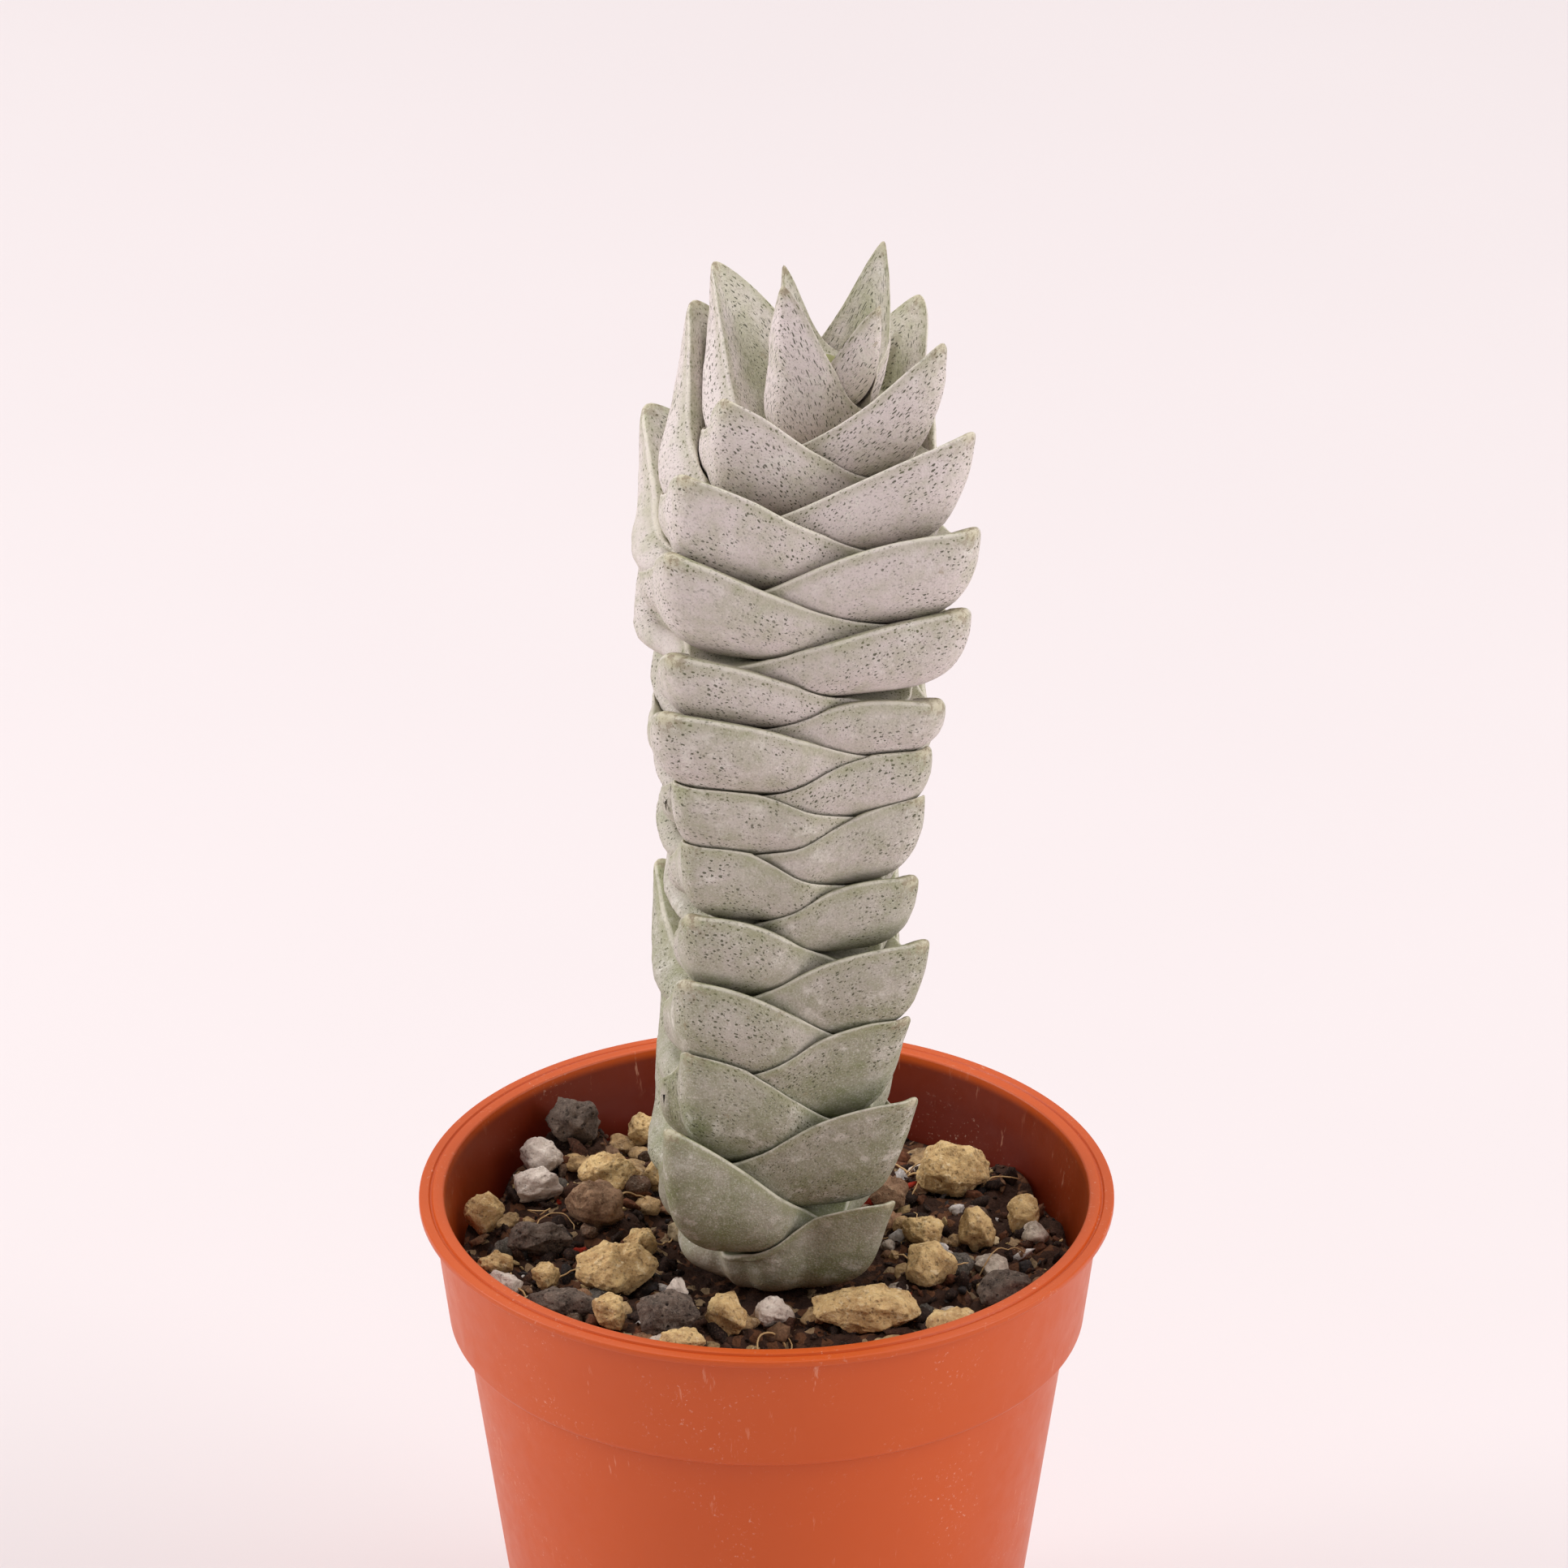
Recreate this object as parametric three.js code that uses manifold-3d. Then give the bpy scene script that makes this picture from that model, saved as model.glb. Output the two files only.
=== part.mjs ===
// A columnar crassula, thirteen pairs of leaves crossed by twelve others, in a small round nursery pot.
// Millimetres, +Z up. The origin is the middle of the pot's underside.
import * as THREE from 'three';
import { mergeVertices } from 'three/addons/utils/BufferGeometryUtils.js';
import { ConvexGeometry } from 'three/addons/geometries/ConvexGeometry.js';
import Module from 'manifold-3d';

const wasm = await Module();
wasm.setup();

// Clearance between two pieces that touch on the real plant
const GAP = 0.3;

// Pot
const POT_HEIGHT = 50;
const RIM_RADIUS = 27.5;
const LIP_THICKNESS = 0.7;
const LIP_WIDTH = 2;
const BAND_TOP_RADIUS = 26.5;
const BAND_FOOT_RADIUS = 25.2;
const BAND_FOOT_HEIGHT = 39.8;
const STEP_DROP = 1;
const BODY_TOP_RADIUS = 23.9;
const FOOT_RADIUS = 18.4;
const WALL = 1;
const EDGE_BEVEL = 0.4;
const LIP_BEVEL = 0.15;
const DRAIN_HOLES = 5;
const DRAIN_RADIUS = 2;
const DRAIN_CIRCLE = 10;
const POT_SIDES = 40;

// Soil
const SOIL_LEVEL = 43;
const SOIL_SIDES = 40;
const SOIL_RINGS = 11;
const SOIL_GRAINS = 150;
const SOIL_GRAIN_RADIUS = [1.2, 2.6];
const FOOT_HOLLOW_RADIUS = 7;

// Axis of the column: how far it has leaned to +X at each height
const LEAN = [[18, 1], [43, 1], [61, 1.4], [80, 2], [107, 2.9], [114, 3.4], [123, 4.7], [131, 5.1]];

// Compass of the four leaf ranks, in degrees from +X: the column twists a little as it rises
const RANK_ANGLE = { foot: 38, head: 42.5, footHeight: 45, headHeight: 110 };

// Stem
const STEM_RADIUS = 2.05;
const STEM_HOLE_RADIUS = STEM_RADIUS + GAP + 0.05;
const STEM_SIDES = 12;
const ROOT_TIP_HEIGHT = 20;
const BUD_BASE_HEIGHT = 121.5;
const BUD_TIP_HEIGHT = 125.5;

// Leaf pairs from the soil up. The pairs point in turn to the right front and to the left front.
// tip: height of the front leaf's tip. reach: its distance from the axis.
// back: height and reach of the opposite leaf's tip. drop: how far the leaf's edge falls from its
// tip to where the two leaves join. dome: how much the edge arches between them on the front side.
// join: distance from the axis to where they join, if it isn't the usual share of the reach.
const LEAF_PAIRS = [
  { tip: 53, reach: 11.3, back: [53.5, 11.8], drop: 5.3, dome: 0.8, join: 9 },
  { tip: 61.6, reach: 14.3, back: [60.5, 12.4], drop: 12.4, dome: -5.4, join: 7 },
  { tip: 62.9, reach: 13.2, back: [60.3, 13.4], drop: 6.4, dome: 0.4 },
  { tip: 67.8, reach: 11.6, back: [67, 12], drop: 8.9, dome: -1.3 },
  { tip: 69.8, reach: 12.1, back: [67.7, 12.7], drop: 5.4, dome: 0.5 },
  { tip: 74, reach: 12.7, back: [73.6, 12], drop: 7, dome: -0.2 },
  { tip: 77, reach: 13.8, back: [75.2, 13.8], drop: 6.1, dome: 0.4 },
  { tip: 79.5, reach: 12.3, back: [79.2, 11.6], drop: 6.2, dome: 0.5 },
  { tip: 82.2, reach: 12.4, back: [81.4, 12.5], drop: 5.3, dome: 1.3 },
  { tip: 86.5, reach: 12.2, back: [86, 11.8], drop: 6.1, dome: -1.2 },
  { tip: 89.6, reach: 12.6, back: [88.6, 12.6], drop: 5.6, dome: -1.4 },
  { tip: 92.4, reach: 12.9, back: [92, 12], drop: 5, dome: -0.9 },
  { tip: 93.8, reach: 13.2, back: [94, 13.2], drop: 3.8, dome: 0.4 },
  { tip: 98.1, reach: 15.7, back: [97.5, 12.5], drop: 5.3, dome: 0 },
  { tip: 98.1, reach: 14.4, back: [99, 14.8], drop: 3.2, dome: 2 },
  { tip: 102.8, reach: 15, back: [102.6, 13], drop: 5.7, dome: -0.5 },
  { tip: 106.6, reach: 16.5, back: [106.2, 16.8], drop: 5.8, dome: -0.2 },
  { tip: 111.6, reach: 15.6, back: [111, 12.6], drop: 7, dome: -2.5 },
  { tip: 113.7, reach: 17, back: [113.5, 17.4], drop: 7.1, dome: 0.4 },
  { tip: 118.1, reach: 15.1, back: [118.6, 12.5], drop: 8.1, dome: -2 },
  { tip: 121.3, reach: 15.2, back: [123.4, 14.2], drop: 9.1, dome: -2.5 },
  { tip: 123.4, reach: 11.6, back: [124.7, 10.6], drop: 8.1, dome: -2.4 },
  { tip: 127.7, reach: 11.5, back: [127.3, 12.2], drop: 10.8, dome: -5 },
  { tip: 130.9, reach: 5.6, back: [130.8, 5.9], drop: 11, dome: -2.3, join: 6 },
  { tip: 128.9, reach: 5, back: [129.2, 4.9], drop: 8, dome: -2 },
];

// Heights at which pairs number 0, 8, 16 and 24 sit on the stem, the others lie between
const NODE_HEIGHTS = [43, 73.5, 96.8, 119];
const PAIRS_PER_NODE_STEP = 8;

// Shape of a leaf pair seen from above: 1 would be a diamond, 2 an ellipse
const PLAN_POWER = 1.25;
const JOIN_SHARE = 0.8;
// Away from the front the edge sags between the tips by at least this
const SIDE_DOME = -5.5;

// Outline of a leaf cut upright through the stem: the belly leaves the stem nearly level and bulges out
// under the edge, the inner face rises from the stem and is steeper near the edge at the column's ends
const BELLY_FLAT_SHARE = 0.76;
const BELLY_FLAT_RISE = 0.1;
const BELLY_FULL_RISE = 0.5;
const BELLY_BULGE = 0.3;
const FACE_SPAN = 0.3;
const FACE_SLANT = { middle: 0.15, atFoot: 0.1, atHead: 0.35 };
const FOOT_PAIRS = 5;
const HEAD_PAIRS = 7;
const TOP_FACE_RISE = 2.5;
const LEAST_THICKNESS = 0.6;

// Clearances of a leaf under the bellies of the pairs above it
const SIDE_CLEARANCE = 0.4;
const ROOF_CLEARANCE = 0.35;
const PRESS_GAP = 0.1;

// Facets of a leaf pair: directions around the stem, places along the belly, steps of the open face
const LEAF_SEGMENTS = 24;
const TIP_CROWDING = 0.12;
const BELLY_SHARES = [0, 0.38, 0.7, 1];
const FREE_STEPS = 2;

// Loose stones: kind, place of the centre, width, depth and height
const STONES = [
  ['lava', [-15.4, 16, 47.6], [4.6, 4.2, 4]],
  ['pale', [-18, 12.8, 46], [3.8, 3.6, 3.3]],
  ['pale', [-18.4, 8.2, 46], [4.3, 3.4, 3]],
  ['brown', [-12.8, 14.9, 44.6], [3, 2.8, 2.4]],
  ['pumice', [-12.8, 10.2, 46], [5.2, 4.4, 3.6]],
  ['brown', [-13.5, 4.4, 46.3], [5, 4.5, 4.2]],
  ['pumice', [-10.1, 19.2, 45], [2.7, 2.6, 3]],
  ['pumice', [-8.8, 11.4, 45], [2.2, 2.4, 2.7]],
  ['pumice', [-22.4, 4, 45.7], [3.5, 3.4, 3.5]],
  ['lava', [-18, 0.6, 45.3], [5.6, 3, 2.8]],
  ['pumice', [-21.4, -2.4, 44.8], [3, 2.6, 2.3]],
  ['pale', [-20.7, -6, 44.8], [3.2, 2.5, 2.1]],
  ['pumice', [-17.4, -4.6, 44.8], [2.6, 2.4, 2.4]],
  ['lava', [-16.3, -9.8, 45.2], [6, 3, 2.4]],
  ['pumice', [-11.8, -4.7, 45.5], [6.8, 5, 4.5]],
  ['pumice', [-10, 0.8, 44.8], [2.8, 3, 2.7]],
  ['pumice', [-12.2, -12.6, 46], [2.9, 3, 3.2]],
  ['lava', [-7.8, -14, 46.5], [5.2, 4, 3.8]],
  ['pale', [-7, -8.6, 45.2], [2.3, 2.5, 3]],
  ['pumice', [-3.2, -12.4, 45.7], [3.6, 3.5, 3.7]],
  ['pumice', [-6.6, -18.5, 46.8], [3.8, 3, 2.6]],
  ['pale', [0.4, -11, 45], [3.2, 2.2, 2.6]],
  ['pumice', [14.8, 11, 46], [6.4, 5, 4.8]],
  ['pumice', [16.6, 2.7, 45], [3, 3.6, 3.8]],
  ['pumice', [20.4, 5, 45], [3, 3, 3.2]],
  ['pumice', [12.4, 3, 44.8], [3.6, 3.4, 2.6]],
  ['pumice', [12.8, -4.1, 45.6], [4.4, 4.2, 3.8]],
  ['brown', [9.6, 9, 44.8], [3.4, 3.4, 3.2]],
  ['pumice', [7.9, -11.8, 45.8], [9, 4.2, 3.6]],
  ['lava', [18.7, -8.5, 45.8], [4.8, 4, 3.2]],
  ['pumice', [14.4, -15, 46.4], [4.4, 3.2, 2.8]],
];
const STONE_CORNERS = 22;
const STONE_CLEARANCE = 0.45;

// Colour and roughness
const FINISHES = {
  pot: [0xb6532a, 0.45],
  soil: [0x3d2a22, 0.95],
  stem: [0x8a8f68, 0.8],
  leaf: [0xa9aaa3, 0.8],
  pumice: [0xc9a95c, 0.9],
  lava: [0x4d4648, 0.9],
  pale: [0xcfc6c6, 0.9],
  brown: [0x7a5a48, 0.9],
};

function seededRandom(seed) {
  let state = seed;
  return () => {
    state = (Math.imul(state, 1664525) + 1013904223) >>> 0;
    return state / 4294967296;
  };
}

function interpolate(table, at) {
  if (at <= table[0][0]) return table[0][1];
  for (let i = 1; i < table.length; i++) {
    if (at <= table[i][0]) {
      const share = (at - table[i - 1][0]) / (table[i][0] - table[i - 1][0]);
      return table[i - 1][1] + share * (table[i][1] - table[i - 1][1]);
    }
  }
  return table[table.length - 1][1];
}

function toSolid(geometry) {
  const bare = geometry.clone();
  for (const name of Object.keys(bare.attributes)) {
    if (name !== 'position') bare.deleteAttribute(name);
  }
  const merged = mergeVertices(bare, 1e-4);
  return new wasm.Manifold(new wasm.Mesh({
    numProp: 3,
    vertProperties: new Float32Array(merged.attributes.position.array),
    triVerts: new Uint32Array(merged.index.array),
  }));
}

function toGeometry(solid) {
  const mesh = solid.getMesh();
  const geometry = new THREE.BufferGeometry();
  geometry.setAttribute('position', new THREE.BufferAttribute(new Float32Array(mesh.vertProperties), 3));
  geometry.setIndex(new THREE.BufferAttribute(new Uint32Array(mesh.triVerts), 1));
  return geometry;
}

function largestBody(solid) {
  const bodies = solid.decompose();
  return bodies.reduce((best, body) => (body.volume() > best.volume() ? body : best));
}

// The geometry moved outward along its own corner normals
function grown(geometry, distance) {
  const bigger = geometry.clone();
  bigger.computeVertexNormals();
  const { position, normal } = bigger.attributes;
  for (let i = 0; i < position.count; i++) {
    position.setXYZ(
      i,
      position.getX(i) + distance * normal.getX(i),
      position.getY(i) + distance * normal.getY(i),
      position.getZ(i) + distance * normal.getZ(i),
    );
  }
  return bigger;
}

// A closed surface through rings of points. Each ring has the same number of points.
// A surface with a start and an end point closes on them, and else its last ring joins its first one.
// Bands from crossedFrom on are divided along their other diagonal.
function ringSurface(rings, { start, end, crossedFrom = Infinity } = {}) {
  const sides = rings[0].length;
  const points = rings.flat();
  const indices = [];
  const bands = start ? rings.length - 1 : rings.length;
  for (let band = 0; band < bands; band++) {
    const low = band * sides;
    const high = ((band + 1) % rings.length) * sides;
    for (let i = 0; i < sides; i++) {
      const j = (i + 1) % sides;
      if (band < crossedFrom) indices.push(low + i, low + j, high + j, low + i, high + j, high + i);
      else indices.push(low + i, low + j, high + i, low + j, high + j, high + i);
    }
  }
  if (start) {
    points.push(start, end);
    const last = (rings.length - 1) * sides;
    for (let i = 0; i < sides; i++) {
      const j = (i + 1) % sides;
      indices.push(points.length - 2, j, i, points.length - 1, last + i, last + j);
    }
  }
  const geometry = new THREE.BufferGeometry().setFromPoints(points);
  geometry.setIndex(indices);
  return geometry;
}

function axisX(height) {
  return interpolate(LEAN, height);
}

// Wall radius of the pot's outside at a height under the rim
function potRadius(height) {
  return interpolate([
    [0, FOOT_RADIUS],
    [BAND_FOOT_HEIGHT - STEP_DROP, BODY_TOP_RADIUS],
    [BAND_FOOT_HEIGHT, BAND_FOOT_RADIUS],
    [POT_HEIGHT, BAND_TOP_RADIUS],
  ], height);
}

function potGeometry() {
  const stepFoot = BAND_FOOT_HEIGHT - STEP_DROP;
  const lipFoot = POT_HEIGHT - LIP_THICKNESS;
  const profile = [
    [0, 0],
    [FOOT_RADIUS - EDGE_BEVEL, 0],
    [FOOT_RADIUS, EDGE_BEVEL],
    [BODY_TOP_RADIUS, stepFoot],
    [BAND_FOOT_RADIUS - EDGE_BEVEL, BAND_FOOT_HEIGHT - EDGE_BEVEL],
    [BAND_FOOT_RADIUS, BAND_FOOT_HEIGHT],
    [BAND_TOP_RADIUS, lipFoot - 2 * LIP_BEVEL],
    [RIM_RADIUS - LIP_BEVEL, lipFoot],
    [RIM_RADIUS, lipFoot + 2 * LIP_BEVEL],
    [RIM_RADIUS - LIP_BEVEL, POT_HEIGHT],
    [RIM_RADIUS - LIP_WIDTH, POT_HEIGHT],
    [RIM_RADIUS - LIP_WIDTH - LIP_BEVEL, POT_HEIGHT - LIP_BEVEL],
    [BAND_FOOT_RADIUS - WALL, BAND_FOOT_HEIGHT + EDGE_BEVEL],
    [BODY_TOP_RADIUS - WALL, stepFoot],
    [FOOT_RADIUS - WALL, WALL],
    [0, WALL],
  ].map(([radius, height]) => new THREE.Vector2(radius, height));
  const cup = new THREE.LatheGeometry(profile, POT_SIDES).rotateX(Math.PI / 2);
  let solid = toSolid(cup);
  for (let i = 0; i < DRAIN_HOLES; i++) {
    const angle = (2 * Math.PI * i) / DRAIN_HOLES;
    const drill = new THREE.CylinderGeometry(DRAIN_RADIUS, DRAIN_RADIUS, 4 * WALL, 12);
    drill.rotateX(Math.PI / 2);
    drill.translate(DRAIN_CIRCLE * Math.cos(angle), DRAIN_CIRCLE * Math.sin(angle), 0);
    solid = solid.subtract(toSolid(drill));
  }
  return toGeometry(solid);
}

// Height of the soil over a point: a level bed with round grains pressed into it, lower round the
// plant's foot, and hollowed or heaped up under each stone
function soilHeights() {
  const random = seededRandom(5);
  const grains = [];
  for (let i = 0; i < SOIL_GRAINS; i++) {
    const angle = 2 * Math.PI * random();
    const distance = 24 * Math.sqrt(random());
    const radius = THREE.MathUtils.lerp(...SOIL_GRAIN_RADIUS, random() ** 2);
    grains.push({ x: distance * Math.cos(angle), y: distance * Math.sin(angle), radius });
  }
  return (x, y) => {
    let rise = 0.4 * Math.sin(0.35 * x + 1) * Math.cos(0.3 * y);
    for (const grain of grains) {
      const far = Math.hypot(x - grain.x, y - grain.y) / grain.radius;
      if (far < 1) rise = Math.max(rise, 0.6 * grain.radius * Math.sqrt(1 - far * far));
    }
    const outside = Math.max(0, Math.hypot(x - axisX(SOIL_LEVEL), y) - FOOT_HOLLOW_RADIUS);
    let height = SOIL_LEVEL + Math.min(rise, 0.3 * outside - 0.5);
    for (const [, centre, size] of STONES) {
      const far = Math.hypot((x - centre[0]) / size[0], (y - centre[1]) / size[1]) * 2;
      const seat = centre[2] - size[2] * Math.max(0.5 * Math.sqrt(Math.max(0, 1 - far * far)), 0.25);
      const held = THREE.MathUtils.clamp((1.6 - far) / 0.6, 0, 1);
      height = THREE.MathUtils.lerp(height, seat - STONE_CLEARANCE, held);
    }
    return height;
  };
}

function soilGeometry() {
  const heightAt = soilHeights();
  const ringAt = (radius, height) => {
    const ring = [];
    for (let i = 0; i < SOIL_SIDES; i++) {
      const angle = (2 * Math.PI * i) / SOIL_SIDES;
      const x = radius * Math.cos(angle);
      const y = radius * Math.sin(angle);
      ring.push(new THREE.Vector3(x, y, height === undefined ? heightAt(x, y) : height));
    }
    return ring;
  };
  // The pot's wall has flat sides between its corners, so the soil keeps clear of their middles
  const clear = (radius) => (radius - WALL - GAP) * Math.cos(Math.PI / POT_SIDES) - 0.1;
  const stepFoot = BAND_FOOT_HEIGHT - STEP_DROP;
  const topRadius = clear(potRadius(SOIL_LEVEL)) - 0.2;
  const bottom = WALL + GAP;
  const rings = [
    ringAt(clear(FOOT_RADIUS), bottom),
    ringAt(clear(BODY_TOP_RADIUS) - 0.1, stepFoot),
    ringAt(clear(BAND_FOOT_RADIUS), BAND_FOOT_HEIGHT + 0.9),
  ];
  for (let i = 0; i < SOIL_RINGS; i++) rings.push(ringAt(topRadius * (1 - i / SOIL_RINGS)));
  const middle = new THREE.Vector3(0, 0, heightAt(0, 0));
  return ringSurface(rings, { start: new THREE.Vector3(0, 0, bottom), end: middle });
}

// An angular stone: the hull of corners spread over an ellipsoid
function stoneGeometry(centre, size, seed) {
  const random = seededRandom(seed * 7919);
  const corners = [];
  for (let i = 0; i < STONE_CORNERS; i++) {
    const height = 1 - (2 * i + 1) / STONE_CORNERS;
    const turn = 2.4 * i + 1.2 * random();
    const girth = Math.sqrt(1 - height * height);
    const corner = new THREE.Vector3(girth * Math.cos(turn), girth * Math.sin(turn), height);
    corners.push(corner.multiplyScalar(0.86 + 0.14 * random()));
  }
  const stone = new ConvexGeometry(corners);
  stone.rotateZ(2 * Math.PI * random());
  stone.computeBoundingBox();
  const extent = stone.boundingBox.getSize(new THREE.Vector3());
  stone.scale(size[0] / extent.x, size[1] / extent.y, size[2] / extent.z);
  stone.translate(...centre);
  const bare = new THREE.BufferGeometry().setAttribute('position', stone.getAttribute('position'));
  return mergeVertices(bare, 1e-4);
}

function stemGeometry() {
  const ringAt = (radius, height) => {
    const ring = [];
    for (let i = 0; i < STEM_SIDES; i++) {
      const angle = (2 * Math.PI * i) / STEM_SIDES;
      ring.push(new THREE.Vector3(axisX(height) + radius * Math.cos(angle), radius * Math.sin(angle), height));
    }
    return ring;
  };
  const rings = [ringAt(0.8, ROOT_TIP_HEIGHT + 1), ringAt(STEM_RADIUS, SOIL_LEVEL - 6)];
  for (const [height] of LEAN.slice(1, -2)) rings.push(ringAt(STEM_RADIUS, height));
  rings.push(ringAt(STEM_RADIUS, BUD_BASE_HEIGHT - 2));
  rings.push(ringAt(1.5, BUD_BASE_HEIGHT + 1));
  return ringSurface(rings, {
    start: new THREE.Vector3(axisX(ROOT_TIP_HEIGHT), 0, ROOT_TIP_HEIGHT),
    end: new THREE.Vector3(axisX(BUD_TIP_HEIGHT), 0, BUD_TIP_HEIGHT),
  });
}

// Height at which a pair sits on the stem
function nodeHeight(index) {
  const knots = NODE_HEIGHTS.map((height, i) => [i * PAIRS_PER_NODE_STEP, height]);
  return interpolate(knots, index);
}

// Directions around the stem, closer together near the four ranks, where the leaves have their tips
const TURNS = Array.from({ length: LEAF_SEGMENTS }, (_, i) => {
  const even = (2 * Math.PI * i) / LEAF_SEGMENTS;
  return even - TIP_CROWDING * Math.sin(4 * even);
});

function heightOn(curve, radius) {
  if (radius > curve[curve.length - 1].x) return Infinity;
  return interpolate(curve.map(({ x, y }) => [x, y]), radius);
}

// Outline of a leaf pair in one direction from the stem, as radius and height. The belly goes out to the
// leaf's edge, the inner face comes back under the roof that the bellies of the pairs above leave free.
function leafOutline(index, turn, above) {
  const roof = (radius) => above.reduce(
    (lowest, belly) => Math.min(lowest, heightOn(belly, radius - SIDE_CLEARANCE) - ROOF_CLEARANCE),
    Infinity,
  );
  const pair = LEAF_PAIRS[index];
  const own = index % 2 === 0 ? turn : turn + Math.PI / 2;
  const along = Math.cos(own);
  const across = Math.sin(own);
  const [tip, reach] = along > 0 ? [pair.tip, pair.reach] : pair.back;
  const joinHeight = pair.tip - pair.drop;
  const joinRadius = pair.join ?? JOIN_SHARE * pair.reach;
  const base = nodeHeight(index);
  const innerTop = index + 1 < LEAF_PAIRS.length ? nodeHeight(index + 1) - GAP : base + TOP_FACE_RISE;
  const footShare = Math.max(0, 1 - index / FOOT_PAIRS);
  const headShare = Math.max(0, 1 - (LEAF_PAIRS.length - 1 - index) / HEAD_PAIRS);
  const slant = FACE_SLANT.middle + FACE_SLANT.atFoot * footShare + FACE_SLANT.atHead * headShare;

  const facesFront = along > 0 && (index % 2 === 0 ? across < 0 : across > 0);
  const dome = facesFront ? pair.dome : Math.min(pair.dome, SIDE_DOME);
  const edgeRadius = (Math.abs(along / reach) ** PLAN_POWER
    + Math.abs(across / joinRadius) ** PLAN_POWER) ** (-1 / PLAN_POWER);
  const freeHeight = tip - (tip - joinHeight) * across ** 2
    + dome * 2 * Math.abs(across * along) * along ** 2;
  const edge = new THREE.Vector2(edgeRadius, Math.min(freeHeight, roof(edgeRadius)));
  const width = edge.x - STEM_HOLE_RADIUS;
  const rise = edge.y - base;
  const bellyCurve = new THREE.CubicBezierCurve(
    new THREE.Vector2(STEM_HOLE_RADIUS, base),
    new THREE.Vector2(STEM_HOLE_RADIUS + BELLY_FLAT_SHARE * width, base + BELLY_FLAT_RISE * rise),
    new THREE.Vector2(edge.x + BELLY_BULGE * along ** 2, base + BELLY_FULL_RISE * rise),
    edge,
  );
  const belly = BELLY_SHARES.map((share) => bellyCurve.getPoint(share));
  for (const point of belly.slice(0, -1)) {
    point.y = Math.min(point.y, roof(point.x) - LEAST_THICKNESS);
  }

  const inner = new THREE.CubicBezierCurve(
    new THREE.Vector2(STEM_HOLE_RADIUS, innerTop),
    new THREE.Vector2(STEM_HOLE_RADIUS + FACE_SPAN * width, innerTop + BELLY_FLAT_RISE * (edge.y - innerTop)),
    new THREE.Vector2(edge.x - FACE_SPAN * width, edge.y - slant * (edge.y - innerTop)),
    edge,
  ).getPoints(24);
  const faceAt = (radius) => Math.min(heightOn(inner, radius), roof(radius));
  // The open part of the face ends where the roof comes down on it
  let cover = STEM_HOLE_RADIUS + FACE_SPAN * width;
  for (let radius = edge.x - GAP; radius > cover; radius -= 0.01 * width) {
    if (roof(radius) < heightOn(inner, radius)) cover = radius;
  }
  const radii = [];
  for (let i = 1; i <= FREE_STEPS; i++) radii.push(THREE.MathUtils.lerp(edge.x, cover, i / FREE_STEPS));
  // Under the pair above, the face bends where that pair's belly does
  const bends = above.length > 0 ? above[0].slice(1).map((point) => point.x + SIDE_CLEARANCE) : [];
  for (let left = BELLY_SHARES.length - 1; left > 0; left--) {
    const last = radii[radii.length - 1];
    const inside = bends.slice(0, left).filter((bend) => bend < last - 0.1);
    const next = inside[inside.length - 1];
    if (inside.length === left) radii.push(next);
    else if (inside.length > 0) radii.push((last + next) / 2);
    else radii.push(THREE.MathUtils.lerp(last, STEM_HOLE_RADIUS, 1 / (left + 1)));
  }
  radii.push(STEM_HOLE_RADIUS);
  const face = radii.map((radius) => new THREE.Vector2(radius, faceAt(radius)));
  return { belly, face };
}

// All leaf pairs, from the top one down, because each is pressed under those above it
function leafPairGeometries() {
  const bellies = [];
  const geometries = [];
  for (let index = LEAF_PAIRS.length - 1; index >= 0; index--) {
    const share = THREE.MathUtils.clamp((LEAF_PAIRS[index].tip - RANK_ANGLE.footHeight)
      / (RANK_ANGLE.headHeight - RANK_ANGLE.footHeight), 0, 1);
    const rank = THREE.MathUtils.degToRad(THREE.MathUtils.lerp(RANK_ANGLE.foot, RANK_ANGLE.head, share));
    bellies[index] = [];
    const outlines = TURNS.map((turn, i) => {
      const above = bellies.slice(index + 1).map((pair) => pair[i]);
      const { belly, face } = leafOutline(index, turn, above);
      bellies[index].push(belly);
      return [...belly, ...face].map(({ x: radius, y: height }) => new THREE.Vector3(
        axisX(height) + radius * Math.cos(turn - rank),
        radius * Math.sin(turn - rank),
        height,
      ));
    });
    const rings = outlines[0].map((_, step) => outlines.map((outline) => outline[step]));
    geometries[index] = ringSurface(rings, { crossedFrom: BELLY_SHARES.length - 1 });
  }
  return geometries;
}

const plant = new THREE.Group();

function addMesh(name, geometry, finish) {
  const [color, roughness] = FINISHES[finish];
  const mesh = new THREE.Mesh(geometry, new THREE.MeshStandardMaterial({ color, roughness, metalness: 0 }));
  mesh.name = name;
  plant.add(mesh);
}

const pairGeometries = leafPairGeometries();
pairGeometries.forEach((geometry, index) => {
  let solid = toSolid(geometry);
  for (const above of pairGeometries.slice(index + 1, index + 3)) {
    solid = solid.subtract(toSolid(grown(above, PRESS_GAP)));
  }
  const name = `leaf_pair_${String(index + 1).padStart(2, '0')}`;
  addMesh(name, toGeometry(largestBody(solid)), 'leaf');
});

const stem = stemGeometry();
addMesh('stem', stem, 'stem');

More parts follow.
